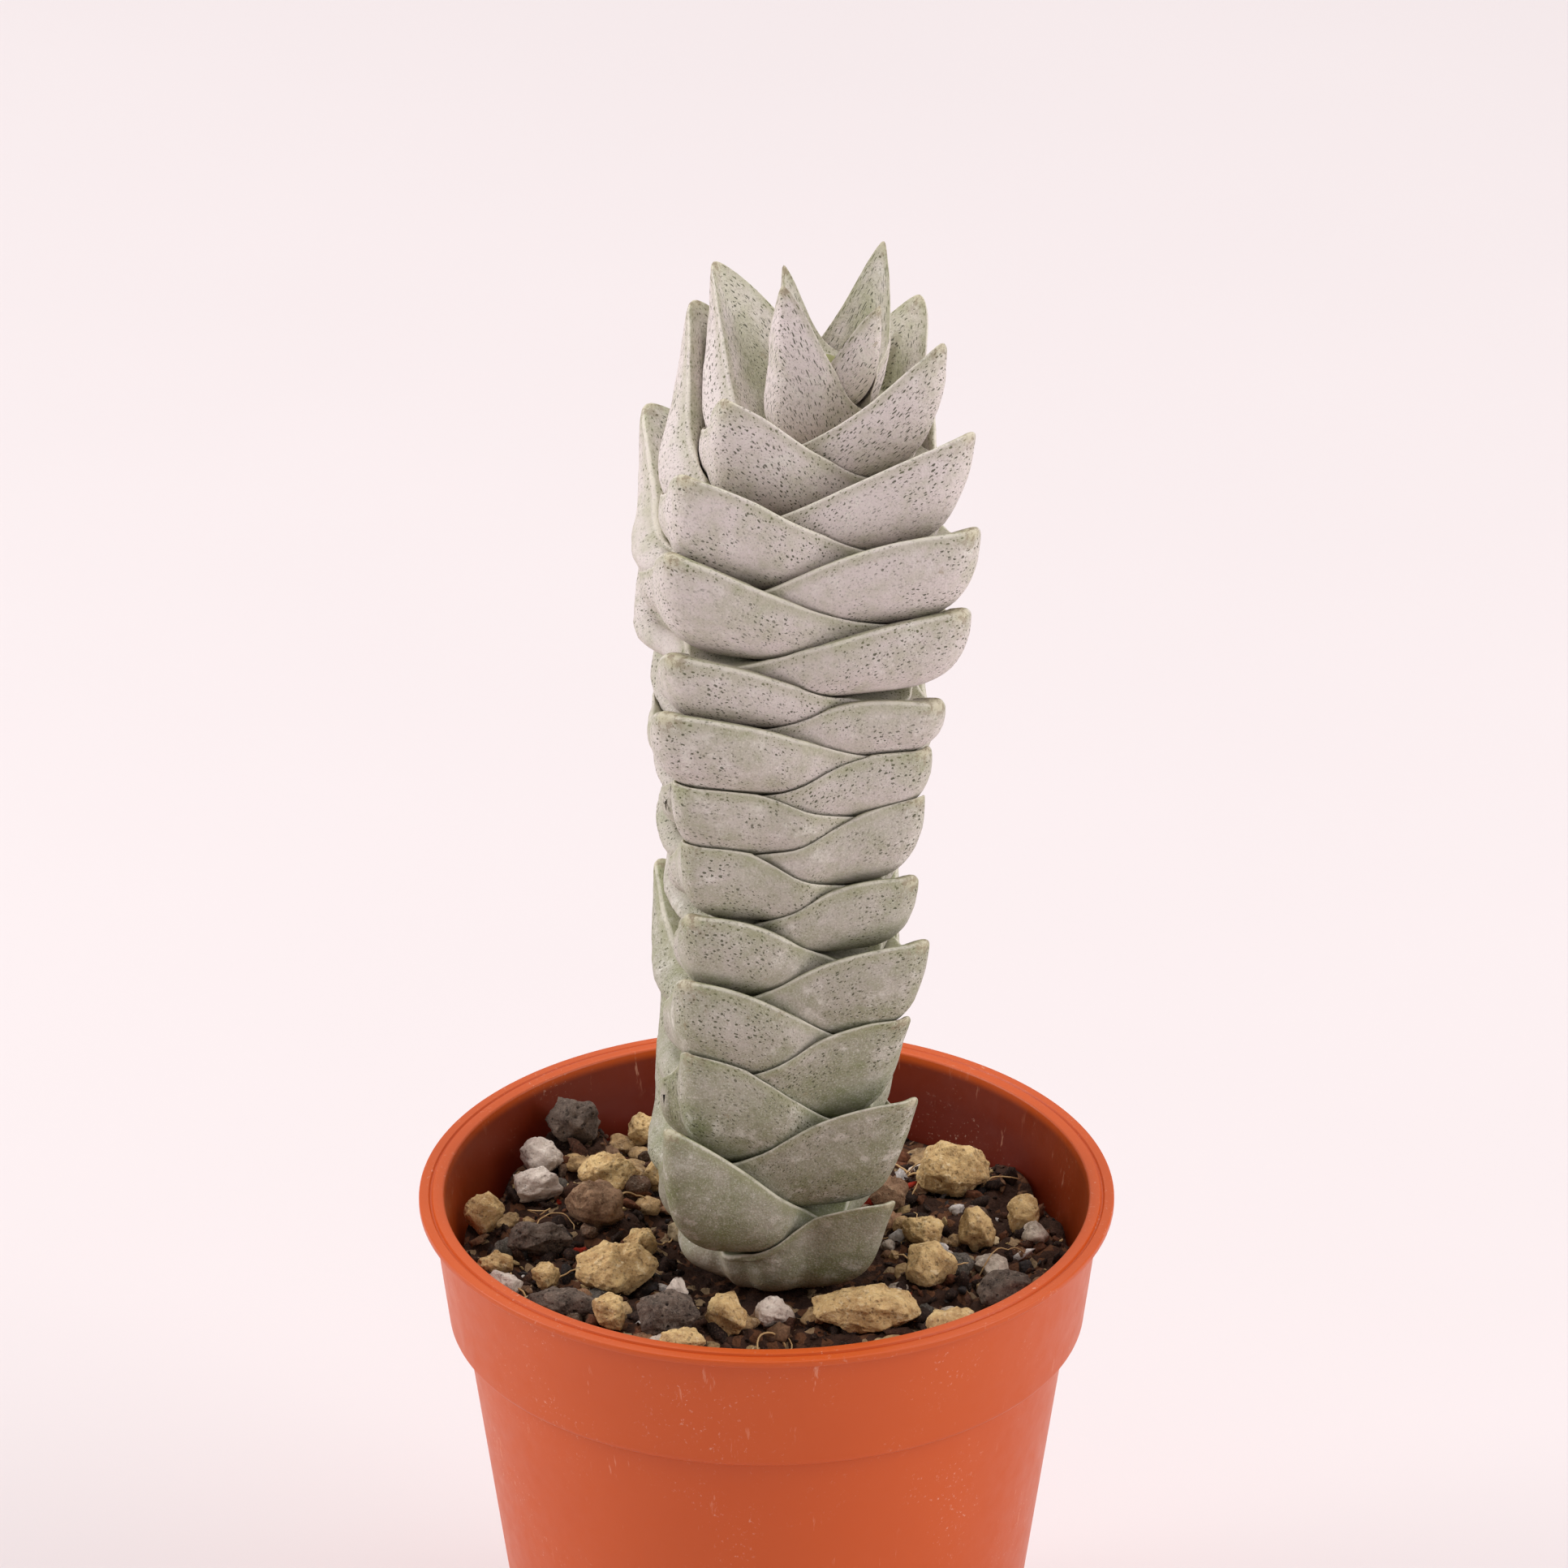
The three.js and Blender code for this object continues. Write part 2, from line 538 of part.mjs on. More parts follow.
let soil = toSolid(soilGeometry()).subtract(toSolid(grown(stem, GAP)));
soil = soil.subtract(toSolid(grown(pairGeometries[0], PRESS_GAP)));
const stoneCounts = {};
STONES.forEach(([kind, centre, size], index) => {
  stoneCounts[kind] = (stoneCounts[kind] ?? 0) + 1;
  const stone = stoneGeometry(centre, size, index + 1);
  addMesh(`stone_${kind}_${String(stoneCounts[kind]).padStart(2, '0')}`, stone, kind);
  soil = soil.subtract(toSolid(grown(stone, PRESS_GAP)));
});
addMesh('soil', toGeometry(largestBody(soil)), 'soil');
addMesh('pot', potGeometry(), 'pot');

export default plant;
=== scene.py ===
"""Looks of a columnar crassula in a small nursery pot. Sizes are in millimetres, objects in metres."""
import math

import bmesh
import bpy
import numpy as np
from mathutils import Matrix, Vector, noise


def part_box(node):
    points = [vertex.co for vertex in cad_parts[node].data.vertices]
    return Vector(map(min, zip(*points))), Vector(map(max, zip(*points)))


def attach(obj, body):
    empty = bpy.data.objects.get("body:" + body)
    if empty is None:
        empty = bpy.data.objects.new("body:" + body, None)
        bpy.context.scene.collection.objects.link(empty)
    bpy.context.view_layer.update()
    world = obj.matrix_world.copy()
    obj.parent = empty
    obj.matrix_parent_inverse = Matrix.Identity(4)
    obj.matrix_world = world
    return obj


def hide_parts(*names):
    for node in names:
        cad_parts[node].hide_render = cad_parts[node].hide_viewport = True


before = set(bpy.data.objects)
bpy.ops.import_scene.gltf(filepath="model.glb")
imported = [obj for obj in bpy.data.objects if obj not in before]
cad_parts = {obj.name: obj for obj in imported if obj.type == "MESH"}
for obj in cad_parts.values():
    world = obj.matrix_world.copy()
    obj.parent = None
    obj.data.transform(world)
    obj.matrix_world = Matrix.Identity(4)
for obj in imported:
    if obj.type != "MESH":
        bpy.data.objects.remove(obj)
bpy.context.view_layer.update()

MM = 0.001

# Camera that took the photograph: it looks along +Y and down on the column
CAMERA_PLACE = (1.38, -892.23, 537.58)
CAMERA_PITCH = 26.845
CAMERA_LENS = 294.99

# Pot
POT_HEIGHT = 50
RIM_RADIUS = 27.5
LIP_THICKNESS = 0.7
LIP_WIDTH = 2
BAND_TOP_RADIUS = 26.5
BAND_FOOT_RADIUS = 25.2
BAND_FOOT_HEIGHT = 39.8
STEP_DROP = 1
BODY_TOP_RADIUS = 23.9
FOOT_RADIUS = 18.4
WALL = 1
FOOT_ROUND = 0.6
STEP_ROUND = 0.5
INNER_LIP_ROUND = 0.2
LIP_EDGE = 0.14
LIP_SLOPE = 0.12
# A fine groove round the lip's top: how far in it lies, and its points from there
GROOVE_PLACE = 0.95
GROOVE = ((0.2, -0.1), (0.08, -0.22), (-0.06, -0.22), (-0.14, -0.03), (-0.26, 0))
DRAIN_HOLES = 5
DRAIN_RADIUS = 2
DRAIN_CIRCLE = 10
DRILL_REACH = 3
DRILL_SIDES = 32
POT_SIDES = 192

# Soil
SOIL_LEVEL = 43
SOIL_SEED = 5
SOIL_GRAINS = 150
SOIL_GRAIN_RADIUS = (1.2, 2.6)
SOIL_GRAIN_RISE = 0.6
SOIL_SPREAD = 24
SOIL_SIDES = 200
SOIL_RINGS = 90
SOIL_CLEARANCE = 0.25
SOIL_ROUGHNESS = ((0.35, 0.9, 0), (0.22, 2.4, 5))
STEM_FOOT_X = 1
FOOT_HOLLOW_RADIUS = 7
FOOT_HOLLOW_DEPTH = 0.5
FOOT_HOLLOW_SLOPE = 0.3
STONE_CLEARANCE = 0.45
STONE_SEAT = 1.6

# What lies on the soil: how many, how far from the axis, how far from the plant's foot, sizes
CRUMBS = 1500
CRUMB_REACH = 24.2
CRUMB_FREE_RADIUS = 7.5
GRAVEL = 140
GRAVEL_TRIES = 12000
GRAVEL_REACH = 23.6
GRAVEL_FREE_RADIUS = 8
GRAVEL_SIZES = (0.6, 1.75)
GRAVEL_OVERLAP = 0.5
GRAVEL_FLATS = 9
# Small stones darker than this may be as narrow as bark
DARK_SHADE = 130
# Stones longer than this get finer points
LARGE_STONE = 5
ROOTLETS = 30
ROOTLET_STEP = 0.32
ROOTLET_SIDES = 5
ROOTLET_LEAST = 5
ROOTLET_STARTS = (8.5, 22)
ROOTLET_REACH = 23.6
ROOTLET_FREE_RADIUS = 7.6

# Axis of the column: how far it has leaned to +X at each height
LEAN = ((18, 1), (43, 1), (61, 1.4), (80, 2), (107, 2.9), (114, 3.4), (123, 4.7), (131, 5.1))
RANK_ANGLE = ((45, 38), (110, 42.5))

STEM_RADIUS = 2
STEM_HOLE_RADIUS = 2.4
STEM_BUD_HEIGHT = 122.8
STEM_BUD = ((1.7, -1.4), (1.1, -0.5), (0.4, -0.1), (0, 0))

# Leaf pairs from the soil up: height and reach of the front leaf's tip, the same of the back leaf's tip,
# drop and dome of the edge, distance from the axis to where the two leaves join (None: the usual share)
LEAF_PAIRS = (
    (53, 11.3, 53.5, 9, 5.6, 0.8, 8.2),
    (61.6, 14.3, 60.5, 12.4, 12.4, -5.4, 7),
    (62.9, 13.2, 60.3, 12.8, 6.4, 0.4, None),
    (67.8, 11.6, 67, 12, 8.9, -1.3, None),
    (69.8, 12.1, 67.7, 12.7, 5.4, 0.5, None),
    (74, 12.7, 73.6, 12, 7, -0.2, None),
    (77, 13.8, 75.2, 13.8, 6.1, 0.4, None),
    (79.5, 12.3, 79.2, 11.6, 6.2, 0.5, None),
    (82.2, 12.4, 81.4, 12.5, 5.3, 1.3, None),
    (86.5, 12.2, 86, 11.8, 6.1, -1.2, None),
    (89.6, 12.6, 88.6, 12.6, 5.6, -1.4, None),
    (92.4, 12.9, 92, 12, 5, -0.9, None),
    (93.8, 13.2, 94, 13.2, 3.8, 0.4, None),
    (98.1, 15.7, 97.5, 12.5, 5.3, 0, None),
    (98.1, 14.4, 99, 14.8, 3.2, 2, None),
    (102.8, 15, 102.6, 13, 5.7, -0.5, None),
    (106.6, 16.5, 106.2, 16.8, 5.8, -0.2, None),
    (111.6, 15.6, 111, 12.6, 7, -2.5, None),
    (113.7, 17, 113.5, 17.4, 7.1, 0.4, None),
    (118.1, 15.1, 118.6, 12.5, 8.1, -2, None),
    (121.3, 15.2, 123.4, 14.2, 9.1, -2.5, None),
    (123.4, 11.6, 124.7, 10.6, 8.1, -2.4, None),
    (127.7, 11.5, 127.3, 12.2, 10.8, -5, None),
    (130.9, 5.6, 130.8, 5.9, 11, -2.3, 6),
    (128.9, 5, 129.2, 4.9, 8, -2, None),
)
NODE_HEIGHTS = ((0, 43), (8, 73.5), (16, 96.8), (24, 119))
FRONT_PLAN_POWER = 1.25
SIDE_PLAN_POWER = 1.15
LEFT_PLAN_POWER = 0.97
JOIN_SHARE = 0.8
SIDE_DOME = -5.5
TIP_ROUND = 0.06
TIP_STIFF = 0.12
BELLY_FLAT_SHARE = 0.86
BELLY_FLAT_RISE = 0.06
BELLY_FULL_RISE = 0.45
KEEL_SWELL = 0.3
JOIN_SLOPE = 1
SIDE_SWELL = 1
LEFT_SWELL = 6
FULL_REACH = 13
# Right front leaves near the soil taper at their keel: fully up to the first pair, less up to the second
FOOT_TAPER = 2.5
FOOT_TAPER_PAIRS = (3, 9)
FACE_SPAN = 0.3
FACE_FOOT_RISE = 0.1
FACE_SLANT_MIDDLE = 0.15
FACE_SLANT_FOOT = 0.1
FACE_SLANT_HEAD = 0.35
FOOT_PAIRS = 5
HEAD_PAIRS = 7
TOP_FACE_RISE = 2.5
NODE_GAP = 0.3
LEAST_THICKNESS = 0.6

# The living leaves press closer together than the solids do
SIDE_CLEARANCE = 0.15
ROOF_CLEARANCE = 0.12
PRESS_STEP = 0.1
PRESS_DEPTH = 3
TIP_SHARE = 0.6
TIP_FREEDOM = 6
MOST_PULL = 1.2
EDGE_PASSES = 4
PAIRS_ABOVE = 5
LEAF_SEGMENTS = 128
TIP_CROWDING = 0.12
BELLY_STEPS = 26
FACE_STEPS = 18
EDGE_ROUND = 0.4
TIP_THICKNESS = 0.4
SKIN_SHARE = 0.8
EDGE_STEPS = 5
# Waves of the skin: height and frequency
SKIN_WAVES = ((0.14, 0.28), (0.06, 0.9))
SKIN_WAVE_FADE = 4

# Studio: lamps as name, place, size and power
WORLD_COLOUR = (1, 0.985, 0.985, 1)
WORLD_STRENGTH = 0.5
LIGHT_TARGET = (0, 0, 0.08)
LIGHTS = (
    ("left", (-0.85, 0, 0.5), 0.6, 5.4),
    ("right", (0.78, -0.25, 0.45), 0.6, 4.7),
    ("top", (0, 0.3, 0.95), 0.8, 4.5),
)
FLOOR_REACH = 3000

scene = bpy.context.scene
random_state = np.random.default_rng(11)


def axis_x(height):
    return np.interp(height, *zip(*LEAN))


def seeded_random(seed):
    """The same draws as the solids were made with."""
    state = seed

    def draw():
        nonlocal state
        state = (state * 1664525 + 1013904223) % 4294967296
        return state / 4294967296

    return draw


# Meshes


def add_object(name, points, faces, smooth_angle=None):
    """A mesh object from points in millimetres."""
    mesh = bpy.data.meshes.new(name)
    mesh.from_pydata((np.asarray(points) * MM).tolist(), [], faces)
    mesh.update()
    obj = bpy.data.objects.new(name, mesh)
    scene.collection.objects.link(obj)
    mesh.polygons.foreach_set("use_smooth", [True] * len(mesh.polygons))
    if smooth_angle is not None:
        mesh.set_sharp_from_angle(angle=math.radians(smooth_angle))
    return obj


def add_attribute(obj, name, values):
    values = np.asarray(values, dtype=float)
    if values.ndim == 1:
        obj.data.attributes.new(name, "FLOAT", "POINT").data.foreach_set("value", values)
        return
    colours = np.column_stack([values, np.ones(len(values))])
    obj.data.attributes.new(name, "FLOAT_COLOR", "POINT").data.foreach_set("color", colours.ravel())


def ring_faces(rings, sides, closed):
    """Quads between rings of points. If closed, the last ring joins the first one."""
    faces = []
    for ring in range(rings if closed else rings - 1):
        low = ring * sides
        high = (ring + 1) % rings * sides
        for i in range(sides):
            j = (i + 1) % sides
            faces.append((low + i, low + j, high + j, high + i))
    return faces


def lathe(profile, sides):
    """Points and faces of a profile turned round the Z axis. It starts and ends on the axis."""
    turns = np.linspace(0, 2 * np.pi, sides, endpoint=False)
    rings = [
        np.column_stack([radius * np.cos(turns), radius * np.sin(turns), np.full(sides, height)])
        for radius, height in profile[1:-1]
    ]
    points = np.vstack(rings + [[(0, 0, profile[0][1])], [(0, 0, profile[-1][1])]])
    faces = ring_faces(len(rings), sides, closed=False)
    first, last = len(points) - 2, len(points) - 1
    top = (len(rings) - 1) * sides
    for i in range(sides):
        j = (i + 1) % sides
        faces.append((first, j, i))
        faces.append((last, top + i, top + j))
    return points, faces


# Leaves


def bezier(start, first, second, end, steps):
    share = np.linspace(0, 1, steps)[:, None]
    rest = 1 - share
    return (
        rest**3 * np.array(start)
        + 3 * rest**2 * share * np.array(first)
        + 3 * rest * share**2 * np.array(second)
        + share**3 * np.array(end)
    )


def roof_over(bellies, radius):
    """Height that the bellies of the pairs above leave free at each radius."""
    lowest = np.full(np.shape(radius), 1e6)
    for belly in bellies:
        widest = int(np.argmax(belly[:, 0])) + 1
        height = np.interp(radius - SIDE_CLEARANCE, belly[:widest, 0], belly[:widest, 1], right=1e6)
        lowest = np.minimum(lowest, height - ROOF_CLEARANCE)
    return lowest


def free_edges(index, turns):
    """Edge of a pair in each direction as it would be with nothing above it.

    Also how far the belly swells past it, how far the direction is from a tip, and what limits the pressing.
    """
    tip, reach, back_tip, back_reach, drop, dome, join = LEAF_PAIRS[index]
    own = turns if index % 2 == 0 else turns + math.pi / 2
    along, across = np.abs(np.cos(own)), np.abs(np.sin(own))
    front = np.cos(own) > 0
    faces_front = front & ((np.sin(own) < 0) == (index % 2 == 0))
    faces_left = ~front & (np.sin(own) < 0) & (index % 2 == 0)
    tips = np.where(front, tip, back_tip)
    reaches = np.where(front, reach, back_reach)
    side_power = np.where(faces_left, LEFT_PLAN_POWER, SIDE_PLAN_POWER)
    power = np.where(faces_front, FRONT_PLAN_POWER, side_power)
    domes = np.where(faces_front, dome, min(dome, SIDE_DOME))
    wide = np.sqrt(across**2 + TIP_ROUND**2) - TIP_ROUND
    radius = ((along / reaches) ** power + (wide / (join or JOIN_SHARE * reach)) ** power) ** (-1 / power)
    height = tips - (tips - tip + drop) * across**2 + domes * 2 * wide * along**3
    swell = KEEL_SWELL * along**2 - JOIN_SLOPE * across**4
    if index % 2 == 0:
        low = np.interp(index, FOOT_TAPER_PAIRS, (1, 0))
        swell = swell - np.where(front, FOOT_TAPER * along**2 * low, 0)
    side_swell = np.where(faces_front, 0, np.where(faces_left, LEFT_SWELL, SIDE_SWELL)) * 2 * wide * along
    swell = swell + side_swell * min(1, (reach / FULL_REACH) ** 2)
    innermost = radius - MOST_PULL * (1 - along**4)
    freedom = TIP_FREEDOM * np.clip(along - TIP_SHARE, 0, None)
    return np.column_stack([radius, height]), swell, wide, np.column_stack([innermost, freedom])


def press_out(edge, limits, bellies):
    """The nearest place at or below an edge that is clear of the bellies above, and close to them."""
    innermost, freedom = limits
    if not bellies:
        return edge
    levels = np.append(np.arange(bellies[0][0, 1] - PRESS_DEPTH, edge[1], PRESS_STEP), edge[1])
    held = np.max([np.interp(levels, belly[:, 1], belly[:, 0], left=0) for belly in bellies], axis=0)
    places = np.maximum(held + SIDE_CLEARANCE, edge[0])
    nearest = int(np.argmin((places - edge[0]) ** 2 + (levels - edge[1]) ** 2))
    snug = max(held[nearest] + SIDE_CLEARANCE + freedom, innermost)
    return np.array([min(places[nearest], snug), levels[nearest]])


def pressed_edges(index, turns, bellies):
    """Edge of a pair under the pairs above it, its belly's swell, and how near each direction is to a tip."""
    edges, swell, wide, limits = free_edges(index, turns)
    for _ in range(EDGE_PASSES):
        edges = np.array([
            press_out(edge, limits[i], [belly[i] for belly in bellies]) for i, edge in enumerate(edges)])
        eased = (np.roll(edges, 1, axis=0) + 2 * edges + np.roll(edges, -1, axis=0)) / 4
        edges += (eased - edges) * np.clip(wide / TIP_STIFF, 0, 1)[:, None]
    return edges, swell, np.exp(-((wide / TIP_STIFF) ** 2))


def leaf_outline(index, edge, swell, above):
    """Outline of a pair in one direction, as radius and height: its belly, then its inner face."""
    pairs = len(LEAF_PAIRS)
    base = np.interp(index, *zip(*NODE_HEIGHTS))
    inner_top = base + TOP_FACE_RISE
    if index + 1 < pairs:
        inner_top = np.interp(index + 1, *zip(*NODE_HEIGHTS)) - NODE_GAP
    slant = FACE_SLANT_MIDDLE
    slant += FACE_SLANT_FOOT * max(0, 1 - index / FOOT_PAIRS)
    slant += FACE_SLANT_HEAD * max(0, 1 - (pairs - 1 - index) / HEAD_PAIRS)
    width = edge[0] - STEM_HOLE_RADIUS
    rise = edge[1] - base

    belly = bezier(
        (STEM_HOLE_RADIUS, base),
        (STEM_HOLE_RADIUS + BELLY_FLAT_SHARE * width, base + BELLY_FLAT_RISE * rise),
        (edge[0] + swell, base + BELLY_FULL_RISE * rise),
        edge,
        4 * BELLY_STEPS,
    )
    # The upper half of the belly passes outside the bellies above it
    for other in above:
        held = np.interp(belly[:-1, 1], other[:, 1], other[:, 0], left=0) + 2 * SIDE_CLEARANCE
        upper = belly[:-1, 1] > base + 0.5 * rise
        belly[:-1, 0] = np.where(upper, np.maximum(belly[:-1, 0], held), belly[:-1, 0])
    limit = roof_over(above, belly[:-1, 0]) - LEAST_THICKNESS
    belly[:-1, 1] = np.minimum(belly[:-1, 1], limit)
    inner = bezier(
        (STEM_HOLE_RADIUS, inner_top),
        (STEM_HOLE_RADIUS + FACE_SPAN * width, inner_top + FACE_FOOT_RISE * (edge[1] - inner_top)),
        (edge[0] - FACE_SPAN * width, edge[1] - slant * (edge[1] - inner_top)),
        edge,
        4 * FACE_STEPS,
    )
    inner[:-1, 1] = np.minimum(inner[:-1, 1], roof_over(above, inner[:-1, 0]))
    return belly, inner[::-1]


def spaced(curve, start, end, steps):
    """Points at even distances along a curve, which leave out some length at its start and end."""
    length = np.concatenate([[0], np.cumsum(np.linalg.norm(np.diff(curve, axis=0), axis=1))])
    places = np.linspace(start, length[-1] - end, steps)
    return np.column_stack([np.interp(places, length, curve[:, axis]) for axis in (0, 1)]), places


def round_edge(belly, face, size):
    """The outline with a rounded edge, and its points' distance from the edge, negative on the face."""
    belly_points, belly_places = spaced(belly, 0, size, BELLY_STEPS)
    face_points, face_places = spaced(face, size, 0, FACE_STEPS)
    share = np.linspace(0, 1, EDGE_STEPS + 2)[1:-1, None]
    rest = 1 - share
    corner = rest**2 * belly_points[-1] + 2 * share * rest * belly[-1] + share**2 * face_points[0]
    corner_places = size * (1 - 2 * share[:, 0])
    belly_length = belly_places[-1] + size
    return np.vstack([belly_points, corner, face_points]), np.concatenate([
        belly_length - belly_places, corner_places, -face_places])


def build_leaves():
    """All leaf pairs, from the top one down, because each is pressed under those above it."""
    even = np.linspace(0, 2 * np.pi, LEAF_SEGMENTS, endpoint=False)
    turns = even - TIP_CROWDING * np.sin(4 * even)
    bellies = {}
    leaves = []
    for index in reversed(range(len(LEAF_PAIRS))):
        over = range(index + 1, min(index + 1 + PAIRS_ABOVE, len(LEAF_PAIRS)))
        rank = math.radians(np.interp(LEAF_PAIRS[index][0], *zip(*RANK_ANGLE)))
        edges, swell, tipness = pressed_edges(index, turns, [bellies[k] for k in over])
        bellies[index] = []
        grid, from_edge = [], []
        for i, turn in enumerate(turns):
            belly, face = leaf_outline(index, edges[i], swell[i], [bellies[k][i] for k in over])
            bellies[index].append(belly)
            outline, places = round_edge(belly, face, EDGE_ROUND + TIP_THICKNESS * tipness[i])
            radius, height = outline[:, 0], outline[:, 1]
            grid.append(np.column_stack([
                axis_x(height) + radius * math.cos(turn - rank),
                radius * math.sin(turn - rank),
                height,
            ]))
            from_edge.append(places)
        grid = np.swapaxes(np.array(grid), 0, 1)
        from_edge = np.array(from_edge).T
        leaves.append(leaf_object(index, rank, turns, grid, from_edge))
    return leaves


def leaf_object(index, rank, turns, grid, from_edge):
    rings, sides, _ = grid.shape
    points = grid.reshape(-1, 3)
    own = np.tile(turns if index % 2 == 0 else turns + np.pi / 2, rings)
    distance = from_edge.ravel()
    front = np.cos(own) > 0
    tips = []
    for leaf_front in (True, False):
        tip, reach = LEAF_PAIRS[index][:2] if leaf_front else LEAF_PAIRS[index][2:4]
        azimuth = (0 if index % 2 == 0 else -math.pi / 2) - rank + (0 if leaf_front else math.pi)
        tips.append((axis_x(tip) + reach * math.cos(azimuth), reach * math.sin(azimuth), tip))
    from_tip = np.where(
        front, np.linalg.norm(points - tips[0], axis=1), np.linalg.norm(points - tips[1], axis=1))

    points = points + leaf_waves(points, index, distance)
    faces = ring_faces(rings, sides, closed=True)
    obj = add_object("leaves_%02d" % (index + 1), points, faces, smooth_angle=60)
    age = index / (len(LEAF_PAIRS) - 1)
    tone = np.where(front, *random_state.uniform(-1, 1, 2))
    seam = math.pi / 2 if index % 2 == 0 else -math.pi / 2
    skin_radius = SKIN_SHARE * LEAF_PAIRS[index][1]
    add_attribute(obj, "around", skin_radius * ((own - seam) % (2 * np.pi)) + 137 * index)
    add_attribute(obj, "from_edge", distance)
    add_attribute(obj, "from_tip", from_tip)
    add_attribute(obj, "youth", np.full(len(points), age))
    add_attribute(obj, "tone", tone)
    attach(obj, "root")
    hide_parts("leaf_pair_%02d" % (index + 1))
    return obj


def leaf_waves(points, index, distance):
    """Small swellings of the skin, away from the axis."""
    centre = np.column_stack([axis_x(points[:, 2]), np.zeros(len(points)), points[:, 2] - 2])
    outward = points - centre
    outward /= np.maximum(np.linalg.norm(outward, axis=1), 1e-6)[:, None]
    offset = Vector((index * 17.3, 0, 0))
    swell = np.array([
        sum(height * noise.noise(Vector(p) * frequency + offset) for height, frequency in SKIN_WAVES)
        for p in points.tolist()
    ])
    return outward * (swell * np.clip(distance / SKIN_WAVE_FADE + 1, 0, 1))[:, None]


# Node materials


class Nodes:
    """Short way to write a material's nodes."""

    def __init__(self, name):
        self.material = bpy.data.materials.new(name)
        self.material.use_nodes = True
        self.tree = self.material.node_tree
        self.shader = self.tree.nodes["Principled BSDF"]

    def plug(self, socket, value):
        if isinstance(value, bpy.types.NodeSocket):
            self.tree.links.new(value, socket)
        elif value is not None:
            socket.default_value = value

    def node(self, kind, inputs=(), **settings):
        node = self.tree.nodes.new("ShaderNode" + kind)
        for key, value in settings.items():
            setattr(node, key, value)
        for key, value in dict(inputs).items():
            self.plug(node.inputs[key], value)
        return node

    def attribute(self, name, output="Fac"):
        return self.node("Attribute", attribute_name=name).outputs[output]

    def place(self):
        """Position in millimetres."""
        position = self.node("TexCoord").outputs["Object"]
        return self.node("VectorMath", {0: position, 1: (1000, 1000, 1000)}, operation="MULTIPLY").outputs[0]

    def noise(self, size, detail=3, roughness=0.5, place=None):
        """Noise from 0 to 1 with features of about size millimetres."""
        return self.node("TexNoise", {
            "Vector": place or self.place(), "Scale": 1 / size, "Detail": detail, "Roughness": roughness,
        }).outputs["Fac"]

    def cells(self, size, place=None, feature="F1"):
        """Distance from the nearest of many points, about size millimetres apart."""
        return self.node("TexVoronoi", {
            "Vector": place or self.place(), "Scale": 1 / size,
        }, feature=feature).outputs["Distance"]

    def dots(self, place, spacing, least, most, left_out):
        """1 inside dots with radii from least to most, some of them left out, and 0 between them."""
        cell = self.node("TexVoronoi", {"Vector": place, "Scale": 1 / spacing}, voronoi_dimensions="2D")
        chance = self.node("SeparateColor", {0: cell.outputs["Color"]})
        size = self.math("MULTIPLY_ADD", chance.outputs["Red"], (most - least) / spacing, least / spacing)
        inside = self.math("SUBTRACT", size, cell.outputs["Distance"])
        kept = self.fall(chance.outputs["Green"], left_out, left_out + 0.05)
        return self.math("MULTIPLY", self.fall(inside, -0.03, 0.06), kept)

    def math(self, operation, first, second=0.0, third=0.0, clamp=False):
        inputs = {0: first, 1: second, 2: third}
        return self.node("Math", inputs, operation=operation, use_clamp=clamp).outputs[0]

    def fall(self, value, low, high, at_low=0.0, at_high=1.0):
        """Smooth change from at_low to at_high as value goes from low to high."""
        return self.node("MapRange", {
            "Value": value, "From Min": low, "From Max": high, "To Min": at_low, "To Max": at_high,
        }, interpolation_type="SMOOTHSTEP").outputs["Result"]

    def mix(self, share, first, second, blend="MIX"):
        """The first colour, with a share of the second one."""
        node = self.node("Mix", data_type="RGBA", blend_type=blend, clamp_factor=True)
        self.plug(node.inputs["Factor"], share)
        self.plug(node.inputs[6], first)
        self.plug(node.inputs[7], second)
        return node.outputs[2]

    def height(self):
        """Height over the floor in millimetres."""
        return self.node("SeparateXYZ", {0: self.place()}).outputs["Z"]

    def bump(self, strength, distance, height, normal=None):
        """A bump whose full height is distance millimetres."""
        return self.node("Bump", {
            "Strength": strength, "Distance": distance * MM, "Height": height, "Normal": normal,
        }).outputs["Normal"]

    def finish(self, colour, roughness, normal=None, specular=0.5):
        self.plug(self.shader.inputs["Base Color"], colour)
        self.plug(self.shader.inputs["Roughness"], roughness)
        self.shader.inputs["Specular IOR Level"].default_value = specular
        self.plug(self.shader.inputs["Normal"], normal)
        return self.material


def srgb(red, green, blue):
    """Linear colour from the 0 to 255 values of a display."""
    values = [c / 255 for c in (red, green, blue)]
    return tuple(c / 12.92 if c <= 0.04045 else ((c + 0.055) / 1.055) ** 2.4 for c in values) + (1,)


